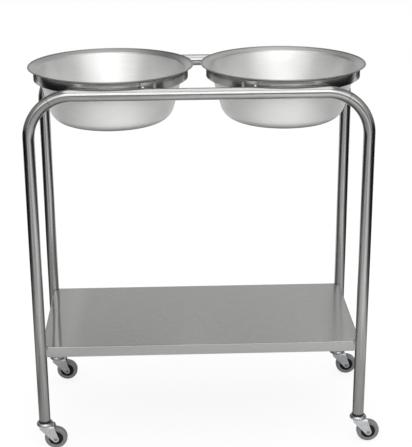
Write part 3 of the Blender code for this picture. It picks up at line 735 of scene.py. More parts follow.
# %% Finish and placing of the basins
BASIN_SIDES = 192
BASIN_STRETCH = 30.0
RIM_POLISH = -0.14           # roughness of the polished rim, beside that of the inside
OUTSIDE_DULLNESS = 0.06      # the same for the dull outside
OUTSIDE_METAL = 0.55         # dull metal scatters part of its light
RIM_SHADE = 0.62             # tones beside that of the inside
# painted shade: a dark line along the rolled lip
LIP_SHADE = 0.34
LIP_WIDTH = 0.006
OUTSIDE_SHADE = 0.88
# painted shade round the outside's bottom corner, where the bowl mirrors the shelf below
CORNER_SHADE = 0.12          # beside that of the outside
CORNER_HEIGHT = 0.01
CORNER_BLEND = 0.0125


def basin_steel(neck, rim, corner):
    """Spun steel. The grain's third value is the length along the section, which starts inside at the axis,
    passes the neck, the rim's edge and the bottom corner, and ends outside at the axis."""
    material = steel("basin_steel", (0.76, 0.76, 0.75), (0.82, 0.82, 0.81), rough=0.45, spread=0.03,
                     fineness=900.0, depth=0.000004, stretch_highlight=0.5)
    tree, shader = shader_of(material)
    length = parts_of(tree, grain_vector(tree))["Z"]
    change = stepped(tree, length, 0.0, (neck, RIM_POLISH), (rim, OUTSIDE_DULLNESS))
    feed(shader, "Roughness", computed(tree, "ADD", feeding(shader, "Roughness"), change))
    feed(shader, "Metallic", stepped(tree, length, 1.0, (rim, OUTSIDE_METAL)))
    # the rim's tone, then painted shade along the lip, then the outside's tone
    shade = stepped(tree, length, 1.0, (neck, RIM_SHADE), (rim - LIP_WIDTH, LIP_SHADE),
                    (rim + LIP_WIDTH / 2, OUTSIDE_SHADE))
    colour = multiplied(tree, feeding(shader, "Base Color"), shade)
    # painted shade round the bottom corner
    shade = stepped(tree, length, 1.0, (corner, CORNER_SHADE), blend=CORNER_BLEND)
    feed(shader, "Base Color", multiplied(tree, colour, shade))
    return material


at_rim = np.argmax(BASIN_SECTION[:, 0])
at_neck = np.argmin(np.abs(BASIN_SECTION[:at_rim, 0] - NECK_RADIUS))
at_corner = at_rim + np.argmax(BASIN_SECTION[at_rim:, 1] < basin_low.z + CORNER_HEIGHT)
BASIN_STEEL = basin_steel(*running_length(BASIN_SECTION)[[at_neck, at_rim, at_corner]])
basin_centre = {}
for side in ("left", "right"):
    low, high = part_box(f"{side}_basin")
    basin_centre[side] = np.array([(low.x + high.x) / 2, 0.0, 0.0])
    bowl = turned(BASIN_SECTION, BASIN_SIDES, BASIN_STRETCH, closed=False)
    bowl = mesh_of(f"{side}_bowl", [moved(bowl, basin_centre[side])])
    add_piece(f"{side}_bowl", bowl, BASIN_STEEL, f"{side}_basin", f"{side}_basin")
    print(side, "basin:", len(bowl.polygons), "faces")

# %% [markdown]
# ## Basin rings and rivets
# A ring is flat bar on edge, rolled round once. Its ends lap, the outer end stepping out over the inner
# one, and a rivet holds the lap. Where the ring crosses a rail, its lower edge is cut to the tube. A
# Boolean could cut it, but the lower edge is simply a height that depends on the place: the tube's circle
# near a rail, and the bar's own edge everywhere else.

# %% Ring surface
RING_THICKNESS = 0.0032
RING_INSET = 0.0124                  # from the basin's rim to the ring's outside
RING_RADIUS = RIM_RADIUS - RING_INSET
RING_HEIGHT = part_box("left_basin_ring")[1].z - RAIL_Z
RING_EDGE = 0.0005
RING_EDGE_STEPS = 3
RING_STEPS = 540
RING_STRETCH = 40.0
COPE_RADIUS = TUBE_RADIUS + FIT_GAP
COPE_STEPS = 20
LAP_OUT = RING_THICKNESS + FIT_GAP
LAP_ANGLE = math.radians(9)
JOGGLE_ANGLE = math.radians(4.5)
RIVET_ANGLE = math.radians(25)       # from the front, towards the middle of the stand
RIVET_EDGE = 0.0055                  # rivet to the outer end of the bar
OUTER_END = RIVET_ANGLE - RIVET_EDGE / RING_RADIUS


def ring_angles():
    """Even steps once round and through the lap, with finer steps where the cut over a rail starts."""
    stop = OUTER_END + FULL_TURN + LAP_ANGLE
    even = np.linspace(OUTER_END, stop, RING_STEPS)
    rise = np.linspace(0, COPE_RADIUS, COPE_STEPS)
    out = HALF_FRAME - np.sqrt(COPE_RADIUS ** 2 - rise ** 2)
    cuts = np.arccos(np.minimum(out / RING_RADIUS, 1.0))
    rails = [0, math.pi, FULL_TURN]
    every = np.concatenate([even] + [rail + sign * cuts for rail in rails for sign in (-1, 1)])
    every = np.unique(np.round(every, 6))
    return every[(every >= OUTER_END) & (every <= stop)]


def ring_sheets(side):
    """Rounded bar section at each angle a: x = r sin a, y = -r cos a. The radius steps out by one thickness
    at the lap, and the lower edge is the larger of 0 and the tube's circle at that y."""
    angle = ring_angles()[:, None]
    past_lap = np.clip((angle - OUTER_END - LAP_ANGLE) / JOGGLE_ANGLE, 0, 1)
    step_out = LAP_OUT * (1 - past_lap ** 2 * (3 - 2 * past_lap))
    half = (RING_THICKNESS / 2, RING_HEIGHT / 2)
    corners = [(-half[0], -half[1]), (half[0], -half[1]), (half[0], half[1]), (-half[0], half[1])]
    section = rounded(corners, [RING_EDGE] * 4, RING_EDGE_STEPS, closed=True)
    radius = RING_RADIUS - half[0] + section[:, 0] + step_out
    y = -radius * np.cos(angle)
    from_rail = np.abs(np.abs(y) - HALF_FRAME)
    cut = np.sqrt(np.maximum(COPE_RADIUS ** 2 - from_rail ** 2, 0.0))
    from_edge = half[1] - np.abs(section[:, 1])
    upper = RING_HEIGHT - from_edge
    z = np.where(section[:, 1] < 0, np.minimum(cut + from_edge, upper), upper)
    points = np.stack([side * radius * np.sin(angle), y, RAIL_Z + z], -1)
    across = running_length(section, closed=True)
    grain = np.stack([points[..., 0] / RING_STRETCH, points[..., 1] / RING_STRETCH,
                      np.broadcast_to(across[:-1], y.shape)], -1)
    bar = sheet(points, angle[:, 0] * RING_RADIUS, across, grain, (False, True))
    ends = []
    for row in (0, -1):
        middle = points[row].mean(0, keepdims=True)
        cap = np.stack([points[row], np.broadcast_to(middle, points[row].shape)])
        ends.append(sheet(cap, across[:2], across, np.stack([grain[row]] * 2), (False, True)))
    return [bar, *ends]


print(f"ring: radius {1000 * RING_RADIUS:.1f} mm, height {1000 * RING_HEIGHT:.1f} mm")

# %% [markdown]
# The rings are bright rolled bar, a little wavy, and the rivets are brighter still. A rivet is a turned
# shape too: it is made upright, laid over to point outward and turned to its place on the lap.

# %% Finish and placing of rings and rivets
RIVET_HEAD_RADIUS = 0.0034
RIVET_HEAD_HEIGHT = 0.0018
RIVET_HEAD_STEPS = 10
RIVET_RADIUS = 0.002
RIVET_TAIL = 0.001
RIVET_ROUNDING = 0.0003
RIVET_SHANK_STEPS = 3
RIVET_SIDES = 32
RIVET_STRETCH = 4.0
RING_STEEL = steel("ring_steel", (0.42, 0.42, 0.415), (0.5, 0.5, 0.49), rough=0.2, spread=0.03,
                   fineness=800.0, depth=0.000005, waves=0.0001)
RIVET_STEEL = steel("rivet_steel", (0.62, 0.62, 0.61), (0.76, 0.76, 0.75), rough=0.2, spread=0.03,
                    fineness=1500.0, depth=0.000004)


def rivet_sheet():
    """Low dome on a shank, with a flat tail inside the ring. Z 0 is the ring's outside radius."""
    seat = LAP_OUT + FIT_GAP
    tail = -RING_THICKNESS - FIT_GAP
    bulge = math.atan2(RIVET_HEAD_HEIGHT, RIVET_HEAD_RADIUS)
    dome = RIVET_HEAD_RADIUS / math.sin(2 * bulge)
    head = arc((0.0, seat + RIVET_HEAD_HEIGHT - dome), dome, QUARTER, QUARTER - 2 * bulge, RIVET_HEAD_STEPS)
    corners = [(RIVET_HEAD_RADIUS, seat), (RIVET_RADIUS, seat), (RIVET_RADIUS, tail),
               (RIVET_HEAD_RADIUS, tail), (RIVET_RADIUS, tail - RIVET_TAIL), (0.0, tail - RIVET_TAIL)]
    shank = rounded(corners, [0, 0, 0, RIVET_ROUNDING, RIVET_ROUNDING, 0], RIVET_SHANK_STEPS)
    return turned(np.concatenate([head, shank[1:]]), RIVET_SIDES, RIVET_STRETCH, closed=False)


for side, towards_middle in (("left", 1), ("right", -1)):
    centre = basin_centre[side]
    ring = mesh_of(f"{side}_ring", [moved(part, centre) for part in ring_sheets(towards_middle)])
    add_piece(f"{side}_ring", ring, RING_STEEL, "frame", f"{side}_basin_ring")
    rivet = rivet_sheet()
    laid_over = Matrix.Rotation(QUARTER, 3, "Y")
    turn = Matrix.Rotation(towards_middle * RIVET_ANGLE - QUARTER, 3, "Z") @ laid_over
    rivet["points"] = (rivet["points"] + [0, 0, RING_RADIUS]) @ np.array(turn).T
    rivet = mesh_of(f"{side}_rivet", [moved(rivet, centre + [0, 0, RAIL_Z + RING_HEIGHT / 2])])
    add_piece(f"{side}_rivet", rivet, RIVET_STEEL, "frame", f"{side}_ring_rivet")
    print(side, "ring:", len(ring.polygons), "faces, rivet:", len(rivet.polygons), "faces")

# %% [markdown]
# ## Casters
# A caster hangs on its leg by a socket in the tube's end. Under the socket sit the domed cap of the ball
# race, the fork bent from one piece of sheet, the axle bolt with its lock nut, and a wheel of black plastic
# with a grey rubber tyre. All but the fork and the nut are turned shapes, so an outline is enough for each.
# They are worked out once about the swivel axis, or about the axle, and then moved to each leg.

# %% Socket and cap
STEM_BORE = 0.0058
SOCKET_BOTTOM = 0.0658
SOCKET_FLANGE = 0.0036
SOCKET_OVER = 0.0005
SOCKET_LENGTH = 0.036
SOCKET_RADII = [0, 0.0012, 0.0006, 0, 0.001, 0]
SOCKET_SIDES = 48
CAP_RADIUS = 0.0185
CAP_CROWN_RADIUS = 0.0125
CAP_SHOULDER = 0.0055
CAP_SHEET = 0.0016
CAP_BORE = 0.0043
CAP_CEILING = 0.0629
CAP_TOP = 0.0655
CAP_RADII = [0, 0.0006, 0.0004, 0.001, 0.0015, 0]
CAP_SIDES = 56
SHOULDER_STEPS = 14
ROUNDING_STEPS = 4
FORK_TOP = 0.0573


def socket_sheet():
    """Flange under the tube with a rounded rim, and the sleeve above it inside the tube."""
    flange = TUBE_RADIUS + SOCKET_OVER
    flange_top = SOCKET_BOTTOM + SOCKET_FLANGE
    sleeve = TUBE_RADIUS - TUBE_WALL - FIT_GAP
    top = flange_top + SOCKET_LENGTH
    corners = [(STEM_BORE, SOCKET_BOTTOM), (flange, SOCKET_BOTTOM), (flange, flange_top),
               (sleeve, flange_top), (sleeve, top), (STEM_BORE, top)]
    return turned(rounded(corners, SOCKET_RADII, ROUNDING_STEPS, closed=True), SOCKET_SIDES)


def cap_sheet():
    """Flat crown, elliptical shoulder and short skirt outside; hollow for the balls inside."""
    shoulder_low = CAP_TOP - CAP_SHOULDER
    inside = CAP_RADIUS - CAP_SHEET
    skirt_low = FORK_TOP + 2 * FIT_GAP
    shoulder = arc((0, 0), 1.0, QUARTER, 0.0, SHOULDER_STEPS)
    shoulder *= [CAP_RADIUS - CAP_CROWN_RADIUS, CAP_SHOULDER]
    shoulder += [CAP_CROWN_RADIUS, shoulder_low]
    corners = [shoulder[-1], (CAP_RADIUS, skirt_low), (inside, skirt_low), (inside, shoulder_low),
               (CAP_CROWN_RADIUS, CAP_CEILING), (CAP_BORE, CAP_CEILING)]
    skirt = rounded(corners, CAP_RADII, ROUNDING_STEPS)
    return turned(np.concatenate([[(CAP_BORE, CAP_TOP)], shoulder, skirt[1:]]), CAP_SIDES)


# %% Wheel
WHEEL_RADIUS = 0.0254
TYRE_HALF_WIDTH = 0.009
TYRE_SHOULDER = 0.0045
TYRE_BEAD = 0.0008
TYRE_STEPS = 8
TYRE_SIDES = 96
GROOVE_DEPTH = 0.0003
GROOVE_HALF_WIDTH = 0.0006
GROOVE_ROUNDING = 0.0002
HUB_RADIUS = 0.0159
HUB_RIM_HALF_WIDTH = 0.008
HUB_RIM_THICKNESS = 0.002
HUB_WEB_HALF_WIDTH = 0.005
HUB_RIB_HEIGHT = 0.0007
HUB_RIB_FEET = (0.0098, 0.0114)
HUB_RIB_CREST = (0.0100, 0.0112)
HUB_BORE = 0.0043
HUB_BOSS = 0.0068
HUB_END_GAP = 0.0005
HUB_RADII = [0, 0.0005, 0.0008, 0.0001, 0.0002, 0.0002, 0.0001, 0.0008, 0.0005, 0.0004]
HUB_SIDES = 64
FORK_INSIDE = 0.012


def tyre_sheet():
    """Tread with round shoulders and a shallow groove where the two halves of the mould met."""
    inside = HUB_RADIUS + FIT_GAP
    groove = [(WHEEL_RADIUS, GROOVE_HALF_WIDTH), (WHEEL_RADIUS - GROOVE_DEPTH, 0.0),
              (WHEEL_RADIUS, -GROOVE_HALF_WIDTH)]
    corners = [(inside, HUB_RIM_HALF_WIDTH), (WHEEL_RADIUS, TYRE_HALF_WIDTH), *groove,
               (WHEEL_RADIUS, -TYRE_HALF_WIDTH), (inside, -HUB_RIM_HALF_WIDTH)]
    radii = [TYRE_BEAD, TYRE_SHOULDER, 0, GROOVE_ROUNDING, 0, TYRE_SHOULDER, TYRE_BEAD]
    return laid_along_y(turned(rounded(corners, radii, TYRE_STEPS, closed=True), TYRE_SIDES))


def hub_sheet():
    """Long boss on the axle, thin web with a raised ring, and the rim that carries the tyre."""
    boss_half = FORK_INSIDE - HUB_END_GAP
    web = HUB_WEB_HALF_WIDTH
    rib = web + HUB_RIB_HEIGHT
    rim_inside = HUB_RADIUS - HUB_RIM_THICKNESS
    front = [(HUB_BORE, boss_half), (HUB_BOSS, boss_half), (HUB_BOSS, web), (HUB_RIB_FEET[0], web),
             (HUB_RIB_CREST[0], rib), (HUB_RIB_CREST[1], rib), (HUB_RIB_FEET[1], web), (rim_inside, web),
             (rim_inside, HUB_RIM_HALF_WIDTH), (HUB_RADIUS, HUB_RIM_HALF_WIDTH)]
    back = [(radius, -height) for radius, height in reversed(front)]
    outline = rounded(front + back, HUB_RADII + HUB_RADII[::-1], ROUNDING_STEPS, closed=True)
    return laid_along_y(turned(outline, HUB_SIDES))


# %% Axle bolt and nut
FORK_SHEET = 0.002
FORK_OUTSIDE = FORK_INSIDE + FORK_SHEET
AXLE_RADIUS = 0.0025
AXLE_HEAD_RADIUS = 0.004
AXLE_HEAD_HEIGHT = 0.0018
AXLE_HEAD_STEPS = 10
AXLE_END = 0.0008            # past the nut
AXLE_END_ROUNDING = 0.0005
AXLE_END_STEPS = 3
AXLE_SIDES = 32
NUT_RADIUS = 0.0046
NUT_FACE = 0.0039
NUT_FACE_RING = 0.0036
NUT_HEIGHT = 0.004
NUT_SIDE = 0.42              # half of the nut's side, beside its height
NUT_POINTS = 72


def bolt_sheet():
    """Low domed head in front of the fork, and the shank through both cheeks and the nut."""
    seat = FORK_OUTSIDE + FIT_GAP
    end = -seat - NUT_HEIGHT - AXLE_END
    head = arc((0, 0), 1.0, QUARTER, 0.0, AXLE_HEAD_STEPS) * [AXLE_HEAD_RADIUS, AXLE_HEAD_HEIGHT] + [0, seat]
    corners = [head[-1], (AXLE_RADIUS, seat), (AXLE_RADIUS, end), (0.0, end)]
    shank = rounded(corners, [0, 0, AXLE_END_ROUNDING, 0], AXLE_END_STEPS)
    return laid_along_y(turned(np.concatenate([head, shank[1:]]), AXLE_SIDES, closed=False))


def nut_sheet():
    """Six-sided nut: each point keeps to the hexagon's radius at its angle, and a cone trims the corners."""
    lower = [(AXLE_RADIUS + FIT_GAP, -0.5), (NUT_FACE_RING, -0.5), (NUT_FACE, -0.5), (NUT_RADIUS, -NUT_SIDE)]
    upper = [(radius, -share) for radius, share in reversed(lower)]
    part = turned(np.array(lower + upper), NUT_POINTS)
    x, y, share = np.moveaxis(part["points"], -1, 0)
    angle = np.arctan2(y, x)
    flat = NUT_RADIUS * math.cos(math.pi / 6) / np.cos(np.mod(angle, math.pi / 3) - math.pi / 6)
    radius = np.minimum(np.hypot(x, y), flat)
    z = -FORK_OUTSIDE - FIT_GAP - NUT_HEIGHT / 2 + share * NUT_HEIGHT
    part["points"] = np.stack([radius * np.cos(angle), radius * np.sin(angle), z], -1)
    return laid_along_y(part)


print(f"wheel radius {1000 * WHEEL_RADIUS:.1f} mm, fork {2000 * FORK_OUTSIDE:.1f} mm wide")

# %% [markdown]
# The fork is a channel of sheet seen from its end, and a triangle with a round nose seen from its side. It
# could be cut from a bent plate. Here every line of the grid lies at one place of the channel and runs from
# the triangle's rear edge to its front edge at that height, so no cut is needed.

# %% Fork surface
CASTER_TRAIL = 0.0235
FORK_BEND = 0.004
FORK_BEND_STEPS = 8
FORK_NOSE = 0.007
FORK_NOSE_STEPS = 16
FORK_REAR = 0.012
FORK_FRONT = 0.0195
FORK_REAR_DROP = 0.005
FORK_EDGE = 0.0003
CHEEK_LINES = 28
FORK_COLUMNS = 17


def touching_angle(point, side):
    """Angle on the nose circle where a line from the point touches it."""
    x, z = point[0] - CASTER_TRAIL, point[1] - WHEEL_RADIUS
    return math.atan2(z, x) + side * math.acos(FORK_NOSE / math.hypot(x, z))


def fork_sheet():
    """Channel line (y, z) crossed with x from the rear edge to the front edge of the side view at that z."""
    axle = (CASTER_TRAIL, WHEEL_RADIUS)
    above = FORK_TOP + FORK_SHEET
    rear_corner = (-FORK_REAR, FORK_TOP - FORK_REAR_DROP)
    front_corner = (FORK_FRONT, above)
    rear_touch = touching_angle(rear_corner, 1) - FULL_TURN
    rear_arc = arc(axle, FORK_NOSE, -QUARTER, rear_touch, FORK_NOSE_STEPS)
    front_arc = arc(axle, FORK_NOSE, -QUARTER, touching_angle(front_corner, -1), FORK_NOSE_STEPS)
    rear = np.concatenate([rear_arc, [rear_corner, (-FORK_REAR, above)]])
    front = np.concatenate([front_arc, [front_corner]])
    low = WHEEL_RADIUS - FORK_NOSE
    bend_y = FORK_OUTSIDE - FORK_BEND
    bend_z = FORK_TOP - FORK_BEND
    cheek_z = low + (bend_z - low) * (1 - np.cos(np.linspace(0, QUARTER, CHEEK_LINES)))
    cheek = np.stack([np.full(CHEEK_LINES, FORK_OUTSIDE), cheek_z], -1)
    bend = arc((bend_y, bend_z), FORK_BEND, 0, QUARTER, FORK_BEND_STEPS)[1:]
    half = np.concatenate([cheek, bend, [[bend_y / 2, FORK_TOP], [0.0, FORK_TOP]]])
    channel = np.concatenate([half, half[-2::-1] * [-1, 1]])
    y, z = channel[:, 0][:, None], channel[:, 1][:, None]
    share = np.linspace(0, 1, FORK_COLUMNS)
    x_rear = np.interp(z, rear[:, 1], rear[:, 0])
    x_front = np.interp(z, front[:, 1], front[:, 0])
    x = x_rear + share * (x_front - x_rear)
    points = np.stack([x, np.broadcast_to(y, x.shape), np.broadcast_to(z, x.shape)], -1)
    return sheet(points, running_length(channel), share * (FORK_REAR + FORK_FRONT), points)


print("fork grid, rows and columns:", fork_sheet()["points"].shape[:2])

# %% [markdown]
# ## Caster finishes
# The fork and cap are zinc plated: the fork satin with fine speckle, the cap brighter. The wheel centre and
# the socket are black moulded plastic with a fine grain, and the tyre is grey rubber that has picked up
# dust on its tread and sides. Two functions are enough, one for plating and one for what comes out of a
# mould.

# %% Zinc, plastic and rubber
MOULD_GRAIN = 0.4            # how far the grain shifts the colour
MOULD_SPREAD = 0.06
DUST_SCALE = 60.0
DUST_DULLNESS = 0.1
SCUFF_SIZE = 6               # grains across one scuff
ZINC_SPREAD = 0.07
ZINC_DEPTH = 0.00001
STAIN_SCALE = 70.0
STAIN_SHARE = 0.4
STAIN_DULLNESS = 0.08


def moulded(name, dark, light, rough, scale, depth, dusty):
    """Plastic or rubber: colour between two tones by scuffs and smears, with a fine moulded grain as bump."""
    material = new_material(name)
    tree, shader = shader_of(material)
    place = own_place(tree)
    grain = mask(tree, BRUSH, place, scale)
    scuffs = mask(tree, SCUFF, place, scale / SCUFF_SIZE)
    smears = mask(tree, SMEAR, place, DUST_SCALE)
    colour = blended(tree, ranged(tree, grain, 0.0, MOULD_GRAIN), dark, light)
    colour = blended(tree, ranged(tree, scuffs, 0.0, dusty), colour, light)
    feed(shader, "Base Color", blended(tree, ranged(tree, smears, 0.0, dusty), colour, light))
    feed(shader, "Roughness", uneven(tree, rough, MOULD_SPREAD, grain, DUST_DULLNESS, smears))
    feed(shader, "Normal", raised(tree, grain, depth))
    return material


def zinc(name, dark, bright, rough, scale):
    """Plated steel: speckled greys, read in place because plating has no direction."""
    material = new_material(name)
    tree, shader = shader_of(material)
    shader.inputs["Metallic"].default_value = 1.0
    place = own_place(tree)
    speckle = mask(tree, BRUSH, place, scale)
    smears = mask(tree, SMEAR, place, STAIN_SCALE)
    colour = blended(tree, speckle, dark, bright)
    feed(shader, "Base Color", blended(tree, ranged(tree, smears, 0.0, STAIN_SHARE), colour, dark))
    feed(shader, "Roughness", uneven(tree, rough, ZINC_SPREAD, speckle, STAIN_DULLNESS, smears))
    feed(shader, "Normal", raised(tree, speckle, ZINC_DEPTH))
    return material


FORK_ZINC = zinc("fork_zinc", (0.66, 0.67, 0.69), (0.96, 0.97, 0.985), rough=0.5, scale=380.0)
CAP_ZINC = zinc("cap_zinc", (0.54, 0.55, 0.57), (0.68, 0.69, 0.71), rough=0.24, scale=1200.0)
AXLE_ZINC = zinc("axle_steel", (0.3, 0.31, 0.32), (0.42, 0.43, 0.44), rough=0.3, scale=1200.0)
NUT_ZINC = zinc("nut_steel", (0.44, 0.45, 0.47), (0.56, 0.57, 0.59), rough=0.38, scale=1200.0)
SOCKET_NYLON = moulded("socket_nylon", (0.012, 0.012, 0.013), (0.03, 0.03, 0.032), rough=0.48, scale=1500.0,
                       depth=0.00001, dusty=0.2)
HUB_PLASTIC = moulded("hub_plastic", (0.004, 0.004, 0.0045), (0.011, 0.011, 0.012), rough=0.5, scale=1500.0,
                      depth=0.00001, dusty=0.2)
TYRE_RUBBER = moulded("tyre_rubber", (0.12, 0.12, 0.123), (0.2, 0.2, 0.203), rough=0.7, scale=1100.0,
                      depth=0.00003, dusty=0.5)
CASTER_FINISHES = (FORK_ZINC, CAP_ZINC, AXLE_ZINC, NUT_ZINC, SOCKET_NYLON, HUB_PLASTIC, TYRE_RUBBER)
print("caster finishes:", len(CASTER_FINISHES))

# %% Place the casters
# name, grid, finish, slot, body and solid of each piece
CASTER_PIECES = [
    ("socket", socket_sheet(), SOCKET_NYLON, "socket_nylon", "frame", "leg_socket"),
    ("cap", cap_sheet(), CAP_ZINC, "cap_zinc", "frame", "raceway_cap"),
    ("yoke", fork_sheet(), FORK_ZINC, "fork_zinc", "swivel", "fork"),
    ("bolt", bolt_sheet(), AXLE_ZINC, "axle_steel", "swivel", "axle_bolt"),
    ("nut", nut_sheet(), NUT_ZINC, "nut_steel", "swivel", "axle_nut"),
    ("hub", hub_sheet(), HUB_PLASTIC, "hub_plastic", "wheel", "wheel_hub"),
    ("tread", tyre_sheet(), TYRE_RUBBER, "tyre_rubber", "wheel", "tyre"),
]
ON_AXLE = ("bolt", "nut", "hub", "tread")
for row, y in (("front", -HALF_FRAME), ("rear", HALF_FRAME)):
    for column, x in (("left", MIDDLE_X - HALF_LEGS), ("right", MIDDLE_X + HALF_LEGS)):
        corner = f"{row}_{column}"
        for kind, part, material, slot, body, node in CASTER_PIECES:
            centre = [x + CASTER_TRAIL, y, WHEEL_RADIUS] if kind in ON_AXLE else [x, y, 0.0]
            mesh = mesh_of(f"{corner}_{kind}", [moved(part, centre)])
            if kind == "yoke":
                mesh = thickened(mesh, FORK_SHEET, FORK_EDGE)
            rides = body if body == "frame" else f"{corner}_{body}"
            add_piece(f"{corner}_{kind}", mesh, material, rides, f"{corner}_{node}")
print("caster pieces:", 4 * len(CASTER_PIECES))

# %% [markdown]
# ## Hidden pieces
# The stem, the ball ring and the axle sleeve sit inside other pieces. Their solids are fine as they are, so
# they only get a plated finish.

# %% Finish of the hidden pieces
HIDDEN_STEEL = zinc("plain_steel", (0.42, 0.42, 0.42), (0.56, 0.56, 0.56), rough=0.4, scale=900.0)
hidden = [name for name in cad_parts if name.endswith(("caster_stem", "ball_ring", "axle_sleeve"))]
for name in hidden:
    node_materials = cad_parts[name].data.materials
    node_materials.clear()
    node_materials.append(HIDDEN_STEEL)
print("hidden pieces:", len(hidden))

# %% [markdown]
# ## Floor and background
# The stand is on a plain white floor in front of a white background. Lighting them to white would put too
# much light on the steel, so the floor and the world are simply white where the camera or a reflection sees
# them. All other rays find a pale floor under an even light, and so the floor still takes the stand's
# shadow.

# %% Floor and background
FLOOR_HALF = 40.0
FLOOR_TONE = 0.86
FLOOR_OWN_WHITE = 0.85       # share of the floor's look that is its own white
WHITE = (1.0, 1.0, 1.0, 1.0)
WORLD_LIGHT = 1.1


def rectangle(axis, place, first, second):
    """Corners of a rectangle across one axis, at a place on it. First and second are its two other ranges."""
    corners = [(first[0], second[0]), (first[1], second[0]), (first[1], second[1]), (first[0], second[1])]
    return np.insert(np.array(corners, float), axis, place, axis=1).tolist()


def stage_piece(name, corners, material):
    """Flat panel from four corners that isn't part of the object."""
    mesh = bpy.data.meshes.new(name)
    mesh.from_pydata(corners, [], [(0, 1, 2, 3)])
    mesh.materials.append(material)
    panel = bpy.data.objects.new(name, mesh)
    bpy.context.scene.collection.objects.link(panel)
    panel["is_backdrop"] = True
    return panel


def seen_directly(tree):
    """1 for camera, glossy and transmission rays, 0 for the rest."""
    path = add_node(tree, "ShaderNodeLightPath").outputs
    either = computed(tree, "MAXIMUM", path["Is Camera Ray"], path["Is Glossy Ray"])
    return computed(tree, "MAXIMUM", either, path["Is Transmission Ray"])


def bare_material(name):
    """Material without its usual shader. Returns it, its tree and its surface socket."""
    material = new_material(name)
    tree, shader = shader_of(material)
    tree.nodes.remove(shader)
    return material, tree, tree.nodes["Material Output"].inputs["Surface"]


def floor_white():
    """Pale floor: mostly its own white where it is seen, the rest lit, so that shadows stay visible on it."""
    material, tree, surface = bare_material("floor_white")
    lit = add_node(tree, "ShaderNodeBsdfDiffuse", {"Color": (FLOOR_TONE, FLOOR_TONE, FLOOR_TONE, 1.0)})
    own = add_node(tree, "ShaderNodeEmission", {"Color": WHITE, "Strength": 1.0})
    share = computed(tree, "MULTIPLY", seen_directly(tree), FLOOR_OWN_WHITE)
    mix = add_node(tree, "ShaderNodeMixShader", {0: share, 1: lit.outputs[0], 2: own.outputs[0]})
    tree.links.new(mix.outputs[0], surface)
    return material


floor_range = (-FLOOR_HALF, FLOOR_HALF)
stage_piece("floor", rectangle(2, 0.0, floor_range, floor_range), floor_white())
world = bpy.data.worlds.new("white_room")
bpy.context.scene.world = world
world.use_nodes = True
background = world.node_tree.nodes["Background"]
background.inputs["Color"].default_value = WHITE
level = ranged(world.node_tree, seen_directly(world.node_tree), WORLD_LIGHT, 1.0)
world.node_tree.links.new(level, background.inputs["Strength"])
print("floor:", 2 * FLOOR_HALF, "m across")

# %% [markdown]
# ## What the steel sees
# Steel shows whatever is round it, and in an even white room it would look like paper. So a studio sets
# cards round the stand: dark parts draw the dark lines along its tubes, and pale parts lighten the flat
# sheets. A card glows with its own tone and is seen only in reflections, so it is a painted reflection.
# It could be a picture, but tones along one or two directions are enough.

# %% Cards
def card(name, corners, tone=1.0):
    """Card that glows with one tone and that only reflections see, a painted reflection. Returns its tree and
    the socket of its colour.
    """
    material, tree, surface = bare_material(name)
    glow = add_node(tree, "ShaderNodeEmission", {"Color": (tone, tone, tone, 1.0), "Strength": 1.0})
    tree.links.new(glow.outputs[0], surface)
    panel = stage_piece(name, corners, material)
    panel.visible_camera = False
    panel.visible_diffuse = False
    panel.visible_shadow = False
    panel.visible_transmission = False
    return tree, glow.inputs["Color"]


def ramp(tree, value, reach, stops):
    """Values along a line: each stop is a place from -reach to reach and the value there."""
    share = ranged(tree, value, 0.0, 1.0, -reach, reach)
    node = add_node(tree, "ShaderNodeValToRGB", {"Fac": share})
    node.color_ramp.interpolation = "EASE"
    points = node.color_ramp.elements
    while len(points) < len(stops):
        points.new(0.5)
    for point, (place, value) in zip(points, stops):
        point.position = (place / reach + 1) / 2
        point.color = (value, value, value, 1.0)
    return node.outputs["Color"]


def ramped_card(name, corners, *ramps):
    """Card whose tone is the product of ramps, each given as its axis, reach and stops."""
    tree, colour = card(name, corners)
    place = parts_of(tree, own_place(tree))
    tone = WHITE[:3]
    for axis, reach, stops in ramps:
        tone = multiplied(tree, tone, ramp(tree, place[axis], reach, stops))
    tree.links.new(tone, colour)


# %% [markdown]
# Legs, rails and the undersides of the bowls mirror the floor. Just above it lies a card with a pool of
# light in front of the stand, dark to both sides, with shade under the stand and more of it under the
# shelf, and a pale place behind.

# %% Floor as the steel sees it
FLOOR_REACH = 4.0
CARD_LIFT = 0.002
NEAR_TONES = [(-4, 0.03), (-1.6, 0.05), (-1.25, 0.2), (-1.05, 0.45), (-0.7, 0.75), (0, 1.0), (0.4, 1.15),
              (0.85, 1.05), (1.05, 0.5), (1.25, 0.2), (1.6, 0.05), (4, 0.03)]
NEAR_SHARE = [(-4, 0.0), (-1.3, 0.0), (-0.9, 1.0), (4, 1.0)]
FAR_TONES = [(-4, 0.03), (-1.7, 0.04), (-1.25, 0.85), (-0.7, 0.8), (-0.2, 0.6), (0.15, 1.2), (0.5, 1.4),
             (1.1, 1.1), (1.6, 0.04), (4, 0.03)]
FARTHEST_TONES = [(-4, 0.1), (-2.7, 0.15), (-2.1, 0.7), (-1.4, 0.7), (-0.6, 1.0), (0.3, 1.15), (1.5, 1.0),
                  (2.4, 0.8), (3.1, 0.2), (4, 0.1)]
FARTHEST_SHARE = [(-4, 1.0), (-3.0, 1.0), (-2.5, 0.0), (4, 0.0)]
BEHIND_SHARE = [(-4, 0.0), (0.85, 0.0), (1.3, 1.0), (4, 1.0)]
FRONT_TO_REAR = [(-4, 0.5), (-2.4, 0.95), (-1.6, 0.8), (-0.9, 1.05), (-0.45, 0.95), (-0.1, 0.75), (0.1, 0.5),
                 (0.3, 0.2), (0.85, 0.15), (1.25, 0.85), (2.4, 0.95), (4, 0.6)]
PALE_TONE = (0.9, 0.9, 0.9)
PALE_ACROSS = [(-4, 0.0), (-0.8, 0.0), (-0.55, 1.0), (0.55, 1.0), (0.8, 0.0), (4, 0.0)]
